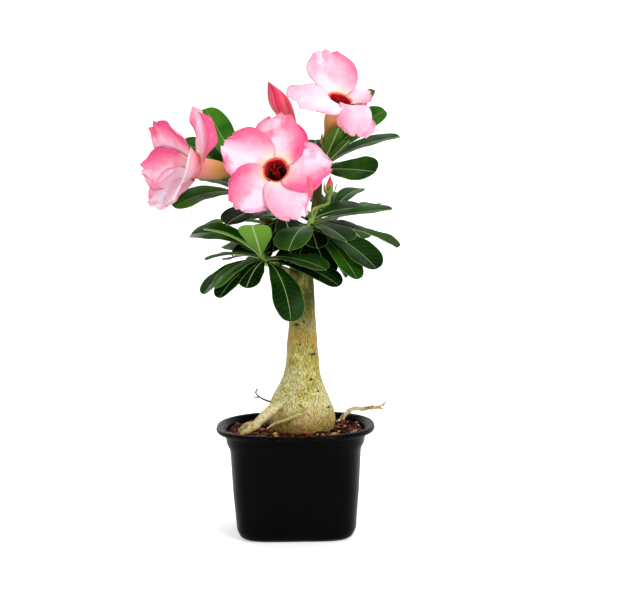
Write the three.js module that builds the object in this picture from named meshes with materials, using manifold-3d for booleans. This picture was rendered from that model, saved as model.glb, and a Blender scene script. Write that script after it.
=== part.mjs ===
// A desert rose (Adenium) in its nursery pot, built as an assembly of separate closed solids.
// Millimetres, +Z up. The origin is the centre of the pot's underside, and -Y is the front.
import * as THREE from 'three';
import Module from 'manifold-3d';

const wasm = await Module();
wasm.setup();

// ---------------------------------------------------------------- driving dimensions
const GAP = 0.35;               // clearance between two solids that touch on the real plant
const RIM_HALF = 62.5;          // half the width over the rolled rim of a 5 inch pot
const POT_HEIGHT = 85;
const POT_FLOOR = 2.4;          // thickness of the pot's floor
const POT_SIDES = 28;
const DRAIN_RADIUS = 4;
const DRAIN_SIDES = 8;
const DRAIN_OFFSET = 31;        // drain holes, measured from the centre along X and Y
const SOIL_MOUND = 1.6;         // how far the soil rises from the wall to the stem
const SOIL_BUMP = 0.9;          // height of the lumps in the soil's surface
const TRUNK_SIDES = 16;
const BRANCH_SIDES = 8;
const SHOOT_RADII = [3.2, 3.1, 3.1];
const LEAFY_STRETCH = [0.18, 0.78];   // where on a shoot its leaves grow, as shares of its length
const LEAF_THICKNESS = 0.8;
const PETIOLE_THICKNESS = 1.9;
const PETIOLE_HALF_WIDTH = 1.5;
const PETAL_THICKNESS = 0.8;
const PETALS = 5;
const MOUTH_RADIUS = 9;         // the corolla tube at its mouth
const TUBE_SIDES = 12;
const STALK_REACH = 0.2;        // how far a stalk runs on before it bends, as a share
const STALK_RADII = [1.4, 1.3, 1.3, 1.5];
const CALYX_SINK = 0.6;         // how far the stalk runs into the calyx
const CALYX_DEPTH = 4;          // from the end of the stalk to the foot of the corolla
const SEED = 7;
const GOLDEN_ANGLE = 137.5;     // turn from one leaf to the next up a stem

// ---------------------------------------------------------------- small helpers
const vec = (p) => new THREE.Vector3(...p);
const rad = THREE.MathUtils.degToRad;
const mix = THREE.MathUtils.lerp;
const smooth = THREE.MathUtils.smoothstep;

// A repeatable source of numbers from -1 to 1.
function makeRandom(seed) {
  let state = seed * 2654435761 % 4294967296;
  return () => {
    state = (state * 1664525 + 1013904223) % 4294967296;
    return state / 2147483648 - 1;
  };
}

// Value at t (0 to 1) of a list of numbers that are evenly spaced.
function along(values, t) {
  const place = t * (values.length - 1);
  const left = Math.min(Math.floor(place), values.length - 2);
  return mix(values[left], values[left + 1], place - left);
}

function toSolid(points, triangles) {
  const vertProperties = new Float32Array(points.flatMap((p) => [p.x, p.y, p.z]));
  const triVerts = new Uint32Array(triangles.flat());
  return new wasm.Manifold(new wasm.Mesh({ numProp: 3, vertProperties, triVerts }));
}

// A solid through rings of equally many points, each ring counter-clockwise seen from the
// far end, closed by a fan at both ends.
function loft(rings) {
  const count = rings[0].length;
  const points = rings.flat();
  const triangles = [];
  for (let r = 0; r < rings.length - 1; r += 1) {
    for (let i = 0; i < count; i += 1) {
      const next = (i + 1) % count;
      const a = r * count + i;
      const b = r * count + next;
      triangles.push([a, b, b + count], [a, b + count, a + count]);
    }
  }
  const centre = (ring) => ring.reduce((sum, p) => sum.add(p), vec([0, 0, 0])).divideScalar(count);
  const first = points.push(centre(rings[0])) - 1;
  const last = points.push(centre(rings.at(-1))) - 1;
  const lastRing = (rings.length - 1) * count;
  for (let i = 0; i < count; i += 1) {
    const next = (i + 1) % count;
    triangles.push([first, next, i], [last, lastRing + i, lastRing + next]);
  }
  return toSolid(points, triangles);
}

// A ring of the squared circle |x|^n + |y|^n = half^n at height z.
function squircle([half, n, z]) {
  return Array.from({ length: POT_SIDES }, (_, i) => {
    const angle = (i / POT_SIDES) * 2 * Math.PI;
    const c = Math.cos(angle);
    const s = Math.sin(angle);
    const x = half * Math.sign(c) * Math.abs(c) ** (2 / n);
    const y = half * Math.sign(s) * Math.abs(s) ** (2 / n);
    return vec([x, y, z]);
  });
}

// A round bar through points, with radii spread evenly along it.
function bar(path, radii, sides, steps) {
  const curve = new THREE.CatmullRomCurve3(path.map(vec), false, 'centripetal');
  const frames = curve.computeFrenetFrames(steps, false);
  const rings = [];
  for (let i = 0; i <= steps; i += 1) {
    const centre = curve.getPointAt(i / steps);
    const radius = along(radii, i / steps);
    const ring = [];
    for (let k = 0; k < sides; k += 1) {
      const angle = (k / sides) * 2 * Math.PI;
      const out = frames.normals[i].clone().multiplyScalar(Math.cos(angle));
      out.addScaledVector(frames.binormals[i], Math.sin(angle));
      ring.push(centre.clone().addScaledVector(out, radius));
    }
    rings.push(ring);
  }
  return loft(rings);
}

// A thin curved blade from a grid of middle points. Both faces are split alike.
function blade(grid, thicknessAt) {
  const rows = grid.length;
  const columns = grid[0].length;
  const faces = [[], []];
  for (let r = 0; r < rows; r += 1) {
    for (let c = 0; c < columns; c += 1) {
      const across = grid[r][Math.min(c + 1, columns - 1)].clone().sub(grid[r][Math.max(c - 1, 0)]);
      const forward = grid[Math.min(r + 1, rows - 1)][c].clone().sub(grid[Math.max(r - 1, 0)][c]);
      const normal = across.cross(forward).normalize();
      const half = thicknessAt(r / (rows - 1)) / 2;
      faces[0].push(grid[r][c].clone().addScaledVector(normal, half));
      faces[1].push(grid[r][c].clone().addScaledVector(normal, -half));
    }
  }
  const under = rows * columns;
  const triangles = [];
  for (let r = 0; r < rows - 1; r += 1) {
    for (let c = 0; c < columns - 1; c += 1) {
      const a = r * columns + c;
      const b = a + 1;
      const d = a + columns;
      const e = d + 1;
      const pair = c < (columns - 1) / 2 ? [[a, b, e], [a, e, d]] : [[a, b, d], [b, e, d]];
      pair.forEach(([i, j, k]) => triangles.push([i, j, k], [under + i, under + k, under + j]));
    }
  }
  const range = (count, value) => Array.from({ length: count }, (_, k) => value(k));
  const rim = [
    ...range(columns - 1, (k) => k),
    ...range(rows - 1, (k) => k * columns + columns - 1),
    ...range(columns - 1, (k) => rows * columns - 1 - k),
    ...range(rows - 1, (k) => (rows - 1 - k) * columns),
  ];
  rim.forEach((i, k) => {
    const j = rim[(k + 1) % rim.length];
    triangles.push([i, under + i, under + j], [i, under + j, j]);
  });
  return toSolid(faces.flat(), triangles);
}

// The solids as one body, without any loose scrap that the union leaves.
function joined(solids) {
  const bodies = wasm.Manifold.union(solids).decompose();
  return bodies.reduce((largest, body) => (body.volume() > largest.volume() ? body : largest));
}

// ---------------------------------------------------------------- materials
const colours = {
  pot: [0x15171a, 0.35],
  soil: [0x5a2a18, 0.95],
  bark: [0xb3a764, 0.7],
  leaf: [0x1f4f1c, 0.4],
  stalk: [0x7d9a45, 0.55],
  petal: [0xf08aa8, 0.6],
  anther: [0xb5122c, 0.6],
};
const materials = Object.fromEntries(Object.entries(colours).map(([name, [color, roughness]]) => [
  name, new THREE.MeshStandardMaterial({ name, color, roughness, metalness: 0 }),
]));

const plant = new THREE.Group();

// Adds one solid to the scene as a named mesh.
function addMesh(name, solid, material, parent = plant) {
  const { vertProperties, triVerts } = solid.getMesh();
  const geometry = new THREE.BufferGeometry();
  geometry.setAttribute('position', new THREE.BufferAttribute(vertProperties, 3));
  geometry.setIndex(new THREE.BufferAttribute(triVerts, 1));
  geometry.computeVertexNormals();
  const mesh = new THREE.Mesh(geometry, materials[material]);
  mesh.name = name;
  parent.add(mesh);
  return mesh;
}

// ---------------------------------------------------------------- the pot
// Squared circles as half width, exponent and height. The body is nearly square, the collar
// and the rolled rim are nearly round.
const POT_OUTSIDE = [
  [43.5, 5, 0], [46.3, 5, 1.6], [47.3, 4.6, 5], [49.3, 4, 35.5], [51.2, 3.4, 66.5], [52, 3.2, 69],
  [54.2, 2.8, 72.5], [55.3, 2.7, 79.2], [57.4, 2.6, 79.9], [61.5, 2.4, 80.6],
  [RIM_HALF, 2.38, 82.4], [61.9, 2.38, 84.3], [59.6, 2.4, POT_HEIGHT],
];
const POT_INSIDE = [
  [57.4, 2.45, 84.2], [54.6, 2.65, 81], [53.2, 2.75, 73.2], [50.6, 3.2, 69.4],
  [49.9, 3.4, 66.8], [46.2, 4.6, 6], [44.4, 5, POT_FLOOR],
];

function makePot() {
  let pot = loft([...POT_OUTSIDE, ...POT_INSIDE].map(squircle));
  for (const x of [-DRAIN_OFFSET, DRAIN_OFFSET]) {
    for (const y of [-DRAIN_OFFSET, DRAIN_OFFSET]) {
      const path = [[x, y, -1], [x, y, POT_FLOOR + 1]];
      const drill = bar(path, [DRAIN_RADIUS, DRAIN_RADIUS], DRAIN_SIDES, 1);
      pot = pot.subtract(drill);
    }
  }
  addMesh('pot', pot, 'pot');
}

// ---------------------------------------------------------------- the trunk and its roots
// The swollen stem: centre x, centre y, height, radius and how strongly it is ribbed.
const STEM = [
  [6, 0, 44, 4, 0.02], [6, 0, 54, 10, 0.03], [5.8, 0, 66, 17, 0.04], [5.8, 0, 77, 22, 0.04],
  [5.8, 0, 82, 24.2, 0.035], [5.4, 0, 88, 26, 0.03], [4.9, 0, 96, 25.7, 0.025],
  [4.3, 0, 104, 23.2, 0.02], [4.5, 0, 110, 20.7, 0.02], [5, 0, 116, 17.6, 0.02],
  [5.7, 0, 123, 14.9, 0.02], [6.3, 0, 131, 13.3, 0.015], [6.2, 0, 146, 12.2, 0.015],
  [6.4, 0, 162, 10.8, 0.015], [6.9, 0, 180, 9.6, 0.01], [7.3, 0, 193, 8.8, 0.01],
  [7.5, 0, 203, 7.6, 0.01],
];
const STEM_RIBS = 5;
const RIB_TURN = 0.35;          // the ribs wind round the stem by this much a ring, in radians

// Branches that end in a leafy shoot, each from its fork to the shoot's foot.
const BRANCHES = {
  low_left: {
    path: [[6, 0, 194], [1, -6, 201], [-9, -16, 207], [-18, -25, 213]],
    radii: [5, 4.4, 3.8, 3.3],
  },
  left: {
    path: [[7, 0, 198], [2, 1, 212], [-8, 2, 230], [-20, 2, 244], [-31, 3, 258]],
    radii: [7, 6, 5, 4.2, 3.4],
  },
  top_right: {
    path: [[8, 0, 198], [12, -1, 216], [16, 1, 240], [19, 3, 260], [20, 5, 275]],
    radii: [7, 5.8, 4.8, 4, 3.4],
  },
  right: { path: [[11, -1, 212], [13, -5, 222], [13, -10, 229], [13, -13, 234]], radii: [4.5, 4, 3.6, 3.3] },
  centre: { path: [[-2, 1, 220], [-4, -3, 230], [-7, -8, 243]], radii: [4.5, 3.8, 3.3] },
  back_left: { path: [[-2, 2, 219], [-8, 14, 228], [-16, 30, 238]], radii: [4.5, 3.8, 3.3] },
  back_right: { path: [[12, 0, 217], [19, 13, 228], [27, 28, 238]], radii: [4.5, 3.8, 3.3] },
};

// Roots as paths with radii: the thick one at the left that comes down from the stem's
// shoulder onto the soil, the one behind it, a thin one lying on the stem, a dry twig, and
// the long one at the right that comes up out of the soil, forks and crosses the rim.
const ROOTS = [
  {
    path: [
      [-8, -14, 105], [-17, -24, 100.5], [-23, -28, 95.5], [-30, -30, 89], [-36, -31, 85],
      [-42, -32, 82],
    ],
    radii: [4.2, 4, 3.6, 3.2, 2.9, 1.8],
  },
  {
    path: [[-10, -4, 104], [-18, -6, 99], [-26, -8, 92.5], [-31, -12, 87], [-39, -16, 84.5], [-44, -18, 82]],
    radii: [3.6, 3.2, 2.8, 2.7, 3.2, 1.6],
  },
  {
    path: [[12, -23, 99], [6, -26, 97.2], [1, -27, 95.5], [-6, -27, 92.5], [-15, -26, 89.5], [-22, -26, 85]],
    radii: [1, 1.7, 1.6, 1.5, 1.3, 0.8],
  },
  {
    path: [[-14, -5, 102], [-22, -6, 104], [-29, -4.5, 107.5], [-31.5, -4, 111]],
    radii: [1, 0.8, 0.8, 0.5],
  },
  {
    path: [
      [10, 12, 72], [24, 28, 72.5], [35, 37, 79.5], [45, 42, 88.8], [55, 44, 88.7], [65, 45, 89.8],
      [72, 45, 91.5],
    ],
    radii: [4, 3.2, 2.4, 2, 1.7, 1.6, 1.2],
  },
  { path: [[64, 45, 89], [68, 44.5, 89.5], [71, 44, 88]], radii: [1.4, 1.2, 0.7] },
  { path: [[36, 37, 80.5], [38, 36, 84], [39, 35, 88]], radii: [1.2, 0.9, 0.6] },
];
const ROOT_SIDES = 6;

// The stem with its roots, grown outwards by an allowance where a hole is cut for it.
function stemAndRoots(allowance) {
  const rings = STEM.map(([cx, cy, z, radius, rib], level) => {
    return Array.from({ length: TRUNK_SIDES }, (_, i) => {
      const angle = (i / TRUNK_SIDES) * 2 * Math.PI;
      const wave = 1 + rib * Math.cos(STEM_RIBS * angle + level * RIB_TURN);
      const reach = radius * wave + allowance;
      const drop = level === 0 ? allowance : 0;
      return vec([cx + reach * Math.cos(angle), cy + reach * Math.sin(angle), z - drop]);
    });
  });
  const roots = ROOTS.map(({ path, radii }) => {
    return bar(path, radii.map((r) => r + allowance), ROOT_SIDES, path.length + 1);
  });
  return joined([loft(rings), ...roots]);
}

function makeTrunk() {
  const branches = Object.values(BRANCHES).map(({ path, radii }) => {
    return bar(path, radii, BRANCH_SIDES, 2 * (path.length - 1));
  });
  addMesh('trunk', joined([stemAndRoots(0), ...branches]), 'bark');
}

// ---------------------------------------------------------------- the soil
const SOIL_WALL_GAP = 0.5;
const SOIL_RINGS = [0.88, 0.76, 0.64, 0.52, 0.38];   // shares of the width, from wall to stem
const SOIL_EDGE = [54, 2.69, 78];                     // where the soil's surface meets the wall

function makeSoil() {
  const random = makeRandom(SEED);
  const sides = [...POT_INSIDE].reverse().filter(([, , z]) => z < SOIL_EDGE[2]);
  const walls = [...sides, SOIL_EDGE].map(([half, n, z]) => {
    return squircle([half - SOIL_WALL_GAP, n, z + (z === POT_FLOOR ? GAP : 0)]);
  });
  const surface = SOIL_RINGS.map((share) => {
    const ring = squircle([SOIL_EDGE[0] * share, mix(2, SOIL_EDGE[1], share), SOIL_EDGE[2]]);
    ring.forEach((p) => {
      p.z += SOIL_MOUND + SOIL_MOUND * (1 - share) + SOIL_BUMP * random();
    });
    return ring;
  });
  const soil = loft([...walls, ...surface]).subtract(stemAndRoots(GAP));
  addMesh('soil', soil, 'soil');
}

// ---------------------------------------------------------------- leafy shoots
const LEAF_ROWS = [0, 0.2, 0.48, 0.76, 0.94, 1];
const LEAF_COLUMNS = [-1, 0, 1];
const LEAF_TAPER = 1.25;        // how slowly the blade widens from its stalk
const LEAF_ROUNDING = 0.42;     // how round it is at the tip
const WIDEST = LEAF_TAPER / (LEAF_TAPER + LEAF_ROUNDING);
const WIDEST_VALUE = WIDEST ** LEAF_TAPER * (1 - WIDEST) ** LEAF_ROUNDING;
const LEAF_FOLD = 0.16;         // rise of the edges over the midrib, as a share of half the width
const LEAF_TIP_HALF = 0.8;      // half the width of the blunt tip
const SPINE_STEPS = 24;

function leafHalfWidth(v, width) {
  const shape = v ** LEAF_TAPER * (1 - v) ** LEAF_ROUNDING / WIDEST_VALUE;
  const least = mix(PETIOLE_HALF_WIDTH, LEAF_TIP_HALF, v);
  return Math.max(least, (shape * width) / 2);
}

// An inverted-egg-shaped leaf. Heading is its compass direction from +X, rise its slope at
// the stalk, droop the angle that it bends down by, roll its turn about its own midrib.
function leaf(base, heading, rise, droop, length, width, roll) {
  const ahead = vec([Math.cos(rad(heading)), Math.sin(rad(heading)), 0]);
  const level = vec([ahead.y, -ahead.x, 0]);
  const spine = [vec(base)];
  for (let i = 0; i < SPINE_STEPS; i += 1) {
    const slope = rad(rise - droop * ((i + 0.5) / SPINE_STEPS));
    const step = ahead.clone().multiplyScalar(Math.cos(slope));
    step.z = Math.sin(slope);
    spine.push(spine[i].clone().addScaledVector(step, length / SPINE_STEPS));
  }
  const curve = new THREE.CatmullRomCurve3(spine);
  const grid = LEAF_ROWS.map((v) => {
    const centre = curve.getPoint(v);
    const tangent = curve.getTangent(v);
    const side = level.clone().applyAxisAngle(tangent, rad(roll));
    const up = side.clone().cross(tangent).normalize();
    const half = leafHalfWidth(v, width);
    return LEAF_COLUMNS.map((u) => {
      const edge = centre.clone().addScaledVector(side, u * half);
      return edge.addScaledVector(up, LEAF_FOLD * half * Math.abs(u));
    });
  });
  return blade(grid, (v) => mix(LEAF_THICKNESS, PETIOLE_THICKNESS, (1 - v) ** 3));
}

// Each shoot has the point where its green stem ends, and its leaves, lowest first, as
// [place along the stem, heading, rise, droop, length, width, roll].
const SHOOTS = {
  low_left: {
    tip: [-25, -32, 222],
    leaves: [
      [0.1, -64, -8, 72, 65, 25, 0], [0.2, -108, -2, 42, 46, 18, -10], [0.3, -127, -5, 40, 60, 19, 0],
      [0.35, -25, 1, 35, 66, 24, 20], [0.4, -132, 3, 45, 56, 16, -5], [0.5, -143, 4, 55, 62, 20, 0],
      [0.6, -36, 8, 30, 60, 22, 15], [0.7, 126, 9, 25, 50, 20, -15], [0.8, 131, 20, 20, 46, 20, -20],
      [0.9, -98, 36, 5, 44, 25, 0], [1, 158, 42, 55, 64, 26, -25], [1, -162, 44, 38, 50, 8, 0],
    ],
  },
  centre: {
    tip: [-9, -9, 257],
    leaves: [
      [0.6, -138, 18, 50, 56, 27, -15], [0.3, -160, 8, 30, 46, 22, -10],
      [0.8, 110, 50, 30, 36, 20, 0],
    ],
  },
  right: {
    tip: [15, -16, 248],
    leaves: [
      [0.1, -80, 0, 40, 36, 20, 0], [0.2, 40, -20, 20, 42, 20, 0], [0.3, -46, -20, 32, 64, 22, 5],
      [0.4, -108, 8, 50, 54, 29, 0], [0.5, -25, -14, 32, 65, 34, 15], [0.7, -60, 2, 28, 56, 26, 0],
      [0.8, 0, 16, 14, 64, 20, 15], [1, 40, 22, 28, 60, 25, 20], [0.9, 30, -3, 15, 50, 22, 20],
    ],
  },
  left: {
    tip: [-37, 0, 276],
    leaves: [
      [0.3, -150, 19, 52, 65, 24, -25], [0.4, 140, 32, 30, 50, 24, -15], [0.6, 158, 50, 28, 70, 26, -30],
      [0.8, 150, 66, 12, 74, 25, -30], [0.7, 95, 30, 35, 56, 24, 0],
    ],
  },
  top_right: {
    tip: [23, 3, 292],
    leaves: [
      [0.5, -40, 4, 12, 56, 27, 40], [0.6, 12, 37, 32, 71, 24, 15], [0.3, 70, 25, 40, 60, 25, 0],
      [0.4, 130, 30, 40, 58, 24, 0], [0.8, 10, 52, 25, 69, 26, 35], [0.4, 20, 62, 16, 80, 18, 20],
      [0.7, -62, 38, -12, 44, 13, 0], [0.6, -48, 32, 0, 40, 11, 0], [0.6, 95, 46, 22, 42, 20, 0],
    ],
  },
  back_left: { tip: [-18, 34, 250], fan: { count: 7, from: 60, to: 190, length: 58, width: 25 } },
  back_right: { tip: [31, 33, 250], fan: { count: 7, from: 20, to: 130, length: 58, width: 25 } },
};

// Leaves spread round the free side of a shoot, low and drooping first, steeper higher up.
function fanOfLeaves({ count, from, to, length, width }, random) {
  return Array.from({ length: count }, (_, i) => {
    const turn = (i * GOLDEN_ANGLE) % 360 / 360;
    const height = (i + 0.5) / count;
    const size = mix(1.05, 0.75, height) + 0.08 * random();
    return [height, mix(from, to, turn), mix(-5, 60, height) + 6 * random(), 38 + 8 * random(),
      length * size, width * size, 10 * random()];
  });
}

// The green stem's middle line, on from the end of its branch.
function shootCurve(name) {
  const branch = BRANCHES[name].path;
  const branchEnd = vec(branch.at(-1));
  const direction = branchEnd.clone().sub(vec(branch.at(-2))).normalize();
  const foot = branchEnd.clone().addScaledVector(direction, GAP);
  const tip = vec(SHOOTS[name].tip);
  const bend = foot.clone().addScaledVector(direction, foot.distanceTo(tip) / 3);
  return new THREE.CatmullRomCurve3([foot, bend, tip], false, 'centripetal');
}

function makeShoots() {
  const random = makeRandom(SEED + 1);
  for (const [name, { leaves, fan }] of Object.entries(SHOOTS)) {
    const curve = shootCurve(name);
    const stem = bar(curve.points.map((p) => p.toArray()), SHOOT_RADII, BRANCH_SIDES, 3);
    const blades = (leaves ?? fanOfLeaves(fan, random)).map(([at, ...shape]) => {
      return leaf(curve.getPointAt(mix(...LEAFY_STRETCH, at)).toArray(), ...shape);
    });
    addMesh(`shoot_${name}`, joined([stem, ...blades]), 'leaf');
  }
}

// ---------------------------------------------------------------- blooms
// The corolla's tube as shares of its length and outside radii, from its foot to its mouth.
const TUBE_PROFILE = [
  [0, 2.6], [0.08, 3], [0.22, 3.6], [0.38, 5.6], [0.58, 7.5], [0.86, 8.2], [1, MOUTH_RADIUS],
];
const TUBE_WALL = 0.9;
const LOBE_ROWS = [0, 0.2, 0.42, 0.66, 0.86, 1];
const LOBE_COLUMNS = [-1, -0.55, 0, 0.55, 1];
const LOBE_WIDTHS = [0.5, 0.8, 0.98, 0.98, 0.72, 0.3];
const LOBE_START = 45;          // angle from the tube's axis where a lobe leaves the mouth
const LOBE_SINK = 1.5;          // how deep a lobe starts in the tube's wall
const LOBE_TILT = 1.5;          // each lobe lies over one neighbour and under the other
const SWEEP_POWER = 1.5;        // a swept lobe bends more towards its tip

// Directions of the five like parts of a flower, in radians.
const fiveAround = (first) => Array.from({ length: PETALS }, (_, k) => rad(first + (360 / PETALS) * k));

function tubeOfCorolla(length) {
  const outside = TUBE_PROFILE.map(([share, radius]) => [radius, share * length]);
  const inside = outside.slice(1).map(([radius, z]) => [radius - TUBE_WALL, z]);
  const rings = [...outside, ...inside.reverse()].map(([radius, z]) => {
    return Array.from({ length: TUBE_SIDES }, (_, i) => {
      const angle = (i / TUBE_SIDES) * 2 * Math.PI;
      return vec([radius * Math.cos(angle), radius * Math.sin(angle), z]);
    });
  });
  return loft(rings);
}

// A lobe flares from the tube's mouth. Start and spread are its angles from the tube's axis
// at the mouth and at its tip, and sweep turns its tip round that axis.
function lobe(tubeLength, angle, length, width, spread, start = LOBE_START, sweep = 0) {
  const grid = [];
  let radius = MOUTH_RADIUS - TUBE_WALL / 2;
  let z = tubeLength - LOBE_SINK;
  LOBE_ROWS.forEach((v, r) => {
    if (r > 0) {
      const step = (v - LOBE_ROWS[r - 1]) * length;
      const lean = rad(mix(start, spread, smooth(v, 0, 0.7)));
      radius += step * Math.sin(lean);
      z += step * Math.cos(lean);
    }
    const half = (LOBE_WIDTHS[r] * width) / 2;
    const tilt = LOBE_TILT * Math.sin(Math.PI * Math.min(1, v + 0.15));
    grid.push(LOBE_COLUMNS.map((u) => {
      const turn = rad(angle + sweep * v ** SWEEP_POWER) + (u * half) / radius;
      return vec([radius * Math.cos(turn), radius * Math.sin(turn), z - u * tilt]);
    }));
  });
  return blade(grid, () => PETAL_THICKNESS);
}

// Five anthers stand on the tube's floor as a cone, with their tails bent out at the mouth.
// Their column and tails are given as shares of the tube's length.
const CONE = { foot: 0.42, middle: 0.64, top: 0.86, radii: [0.9, 1, 3.4, 2.6, 0.7] };
const TAIL = { path: [[0.6, 0.78], [1.8, 0.92], [4.2, 1.06]], radii: [0.8, 0.6, 0.5] };
const TAIL_TURN = 36;           // the tails stand between the middles of the lobes

function anthers(tubeLength) {
  const floor = TUBE_PROFILE[1][0] * tubeLength + GAP;
  const heights = [floor, ...[CONE.foot, CONE.middle, CONE.top].map((share) => share * tubeLength)];
  const cone = bar(heights.map((z) => [0, 0, z]), CONE.radii, 6, 4);
  const tails = fiveAround(TAIL_TURN).map((turn) => {
    const path = TAIL.path.map(([r, share]) => {
      return [r * Math.cos(turn), r * Math.sin(turn), share * tubeLength];
    });
    return bar(path, TAIL.radii, 4, 2);
  });
  return joined([cone, ...tails]);
}

// The calyx closes the end of the stalk with a small cup and five pointed sepals, given by
// distance from the axis, height and half width.
const SEPAL = [[2.2, -1.8, 1.5], [4.4, 0.8, 1.8], [5.4, 6.4, 0.4]];
const CUP = { heights: [-CALYX_DEPTH, -2, -GAP], radii: [1.3, 2.4, 3.1] };

function calyx() {
  const cup = bar(CUP.heights.map((z) => [0, 0, z]), CUP.radii, 8, 2);
  const sepals = fiveAround(0).map((turn) => {
    const out = vec([Math.cos(turn), Math.sin(turn), 0]);
    const side = vec([-out.y, out.x, 0]);
    const grid = SEPAL.map(([r, z, half]) => [-half, half].map((w) => {
      return vec([0, 0, z]).addScaledVector(out, r).addScaledVector(side, w);
    }));
    return blade(grid, () => LEAF_THICKNESS);
  });
  return joined([cup, ...sepals]);
}

// Blooms: foot and mouth of the corolla's tube, the shoot that carries it, how far aside its
// stalk starts, and the five lobes as [angle in the bloom's frame, length, width, spread,
// start, sweep].
const BLOOMS = {
  front: {
    foot: [-8, -18, 268],
    mouth: [-11, -60, 283.5],
    shoot: 'centre',
    aside: [0, 0, 0],
    lobes: [[80, 35, 45, 88], [152, 36, 42, 88], [226, 36, 41, 88], [296, 38, 38, 92], [-3, 35, 43, 88]],
  },
  left: {
    foot: [-39, -3, 282],
    mouth: [-74, -22, 287],
    shoot: 'left',
    aside: [0, 0, 0],
    lobes: [
      [62, 39, 44, 104, LOBE_START, 18],
      [145, 42, 34, 50, LOBE_START, -8],
      [189, 42, 35, 48],
      [232, 40, 34, 54],
      [334, 41, 44, 62, 36, -40],
    ],
  },
  top: {
    foot: [26, -1.5, 304.5],
    mouth: [37.6, -21, 336.8],
    shoot: 'top_right',
    aside: [2, -0.8, 0],
    lobes: [
      [124, 35, 46, 46],
      [236, 41, 33, 90, LOBE_START, -20],
      [256, 13, 26, 100],
      [310, 39, 33, 124, LOBE_START, -22],
      [20, 20, 30, 80],
    ],
  },
};
const BUDS = {
  bud: {
    foot: [9, -3, 302],
    tip: [-17.5, -5, 352],
    shoot: 'top_right',
    aside: [-1.9, 0.3, 0],
    radii: [2.4, 2.5, 2.6, 2.9, 3.6, 5.5, 7.2, 6.4, 3.9, 0.5],
  },
  small_bud: {
    foot: [28.5, -13, 267],
    tip: [29.6, -13, 279],
    shoot: 'right',
    aside: [0, 0, 0],
    radii: [1.5, 2.4, 2.8, 2.2, 1.2, 0.4],
  },
};
const BUD_SIDES = 15;
const BUD_RIDGE = 0.09;         // height of the ridges, as a share of the radius
const BUD_TWIST = 100;          // the rolled lobes of a closed bud wind round it by this angle

// A group whose +Z runs from foot to end and whose +X is as near to +X as it can be.
function frameAt(foot, end) {
  const axis = vec(end).sub(vec(foot)).normalize();
  const right = vec([1, 0, 0]);
  if (Math.abs(axis.x) > 0.7) right.set(0, -1, 0);
  right.addScaledVector(axis, -right.dot(axis)).normalize();
  const up = axis.clone().cross(right);
  const group = new THREE.Group();
  group.position.copy(vec(foot));
  group.quaternion.setFromRotationMatrix(new THREE.Matrix4().makeBasis(right, up, axis));
  group.updateMatrix();
  plant.add(group);
  return group;
}

// A stalk from the end of a shoot to the calyx, in the bloom's own frame.
function makeStalk(name, group, shoot, aside) {
  const curve = shootCurve(shoot);
  const direction = curve.getTangent(1);
  const start = curve.getPoint(1).addScaledVector(direction, 2 * GAP).add(vec(aside));
  const inside = group.matrix.clone().invert();
  const reach = start.distanceTo(group.position) * STALK_REACH;
  const bend = start.clone().addScaledVector(direction, reach);
  const points = [
    start.applyMatrix4(inside),
    bend.applyMatrix4(inside),
    vec([0, 0, -CALYX_DEPTH - reach]),
    vec([0, 0, -CALYX_DEPTH + CALYX_SINK]),
  ];
  const stalk = bar(points.map((p) => p.toArray()), STALK_RADII, 6, 5);
  addMesh(name, joined([stalk, calyx()]), 'stalk', group);
}

function makeBlooms() {
  for (const [name, { foot, mouth, shoot, aside, lobes }] of Object.entries(BLOOMS)) {
    const group = frameAt(foot, mouth);
    const tubeLength = vec(foot).distanceTo(vec(mouth));
    const petals = lobes.map((shape) => lobe(tubeLength, ...shape));
    addMesh(`corolla_${name}`, joined([tubeOfCorolla(tubeLength), ...petals]), 'petal', group);
    addMesh(`anthers_${name}`, anthers(tubeLength), 'anther', group);
    makeStalk(`flower_stalk_${name}`, group, shoot, aside);
  }
}

function makeBuds() {
  for (const [name, { foot, tip, shoot, aside, radii }] of Object.entries(BUDS)) {
    const group = frameAt(foot, tip);
    const length = vec(foot).distanceTo(vec(tip));
    const rings = radii.map((radius, level) => {
      const share = level / (radii.length - 1);
      return Array.from({ length: BUD_SIDES }, (_, i) => {
        const angle = (i / BUD_SIDES) * 2 * Math.PI;
        const ridge = 1 + BUD_RIDGE * smooth(share, 0.3, 0.6) * Math.cos(PETALS * angle);
        const turn = angle + rad(BUD_TWIST) * share ** 2;
        return vec([radius * ridge * Math.cos(turn), radius * ridge * Math.sin(turn), share * length]);
      });
    });
    addMesh(name, loft(rings), 'petal', group);
    makeStalk(`${name}_stalk`, group, shoot, aside);
  }
}

makePot();
makeTrunk();
makeSoil();
makeShoots();
makeBlooms();
makeBuds();

export default plant;
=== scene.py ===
# %% [markdown]
# # A desert rose in its nursery pot
# The CAD part gives a fixed frame: one solid for the pot, the soil, the woody stem, each leafy
# shoot, each bloom and each bud. This lesson dresses them. Every piece is built where its solid
# stands, in the same frame, with the finer shape and the finish that the real thing has.

# %% Open the frame
import math

import bpy
import numpy as np
from mathutils import Matrix, Vector, noise


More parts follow.
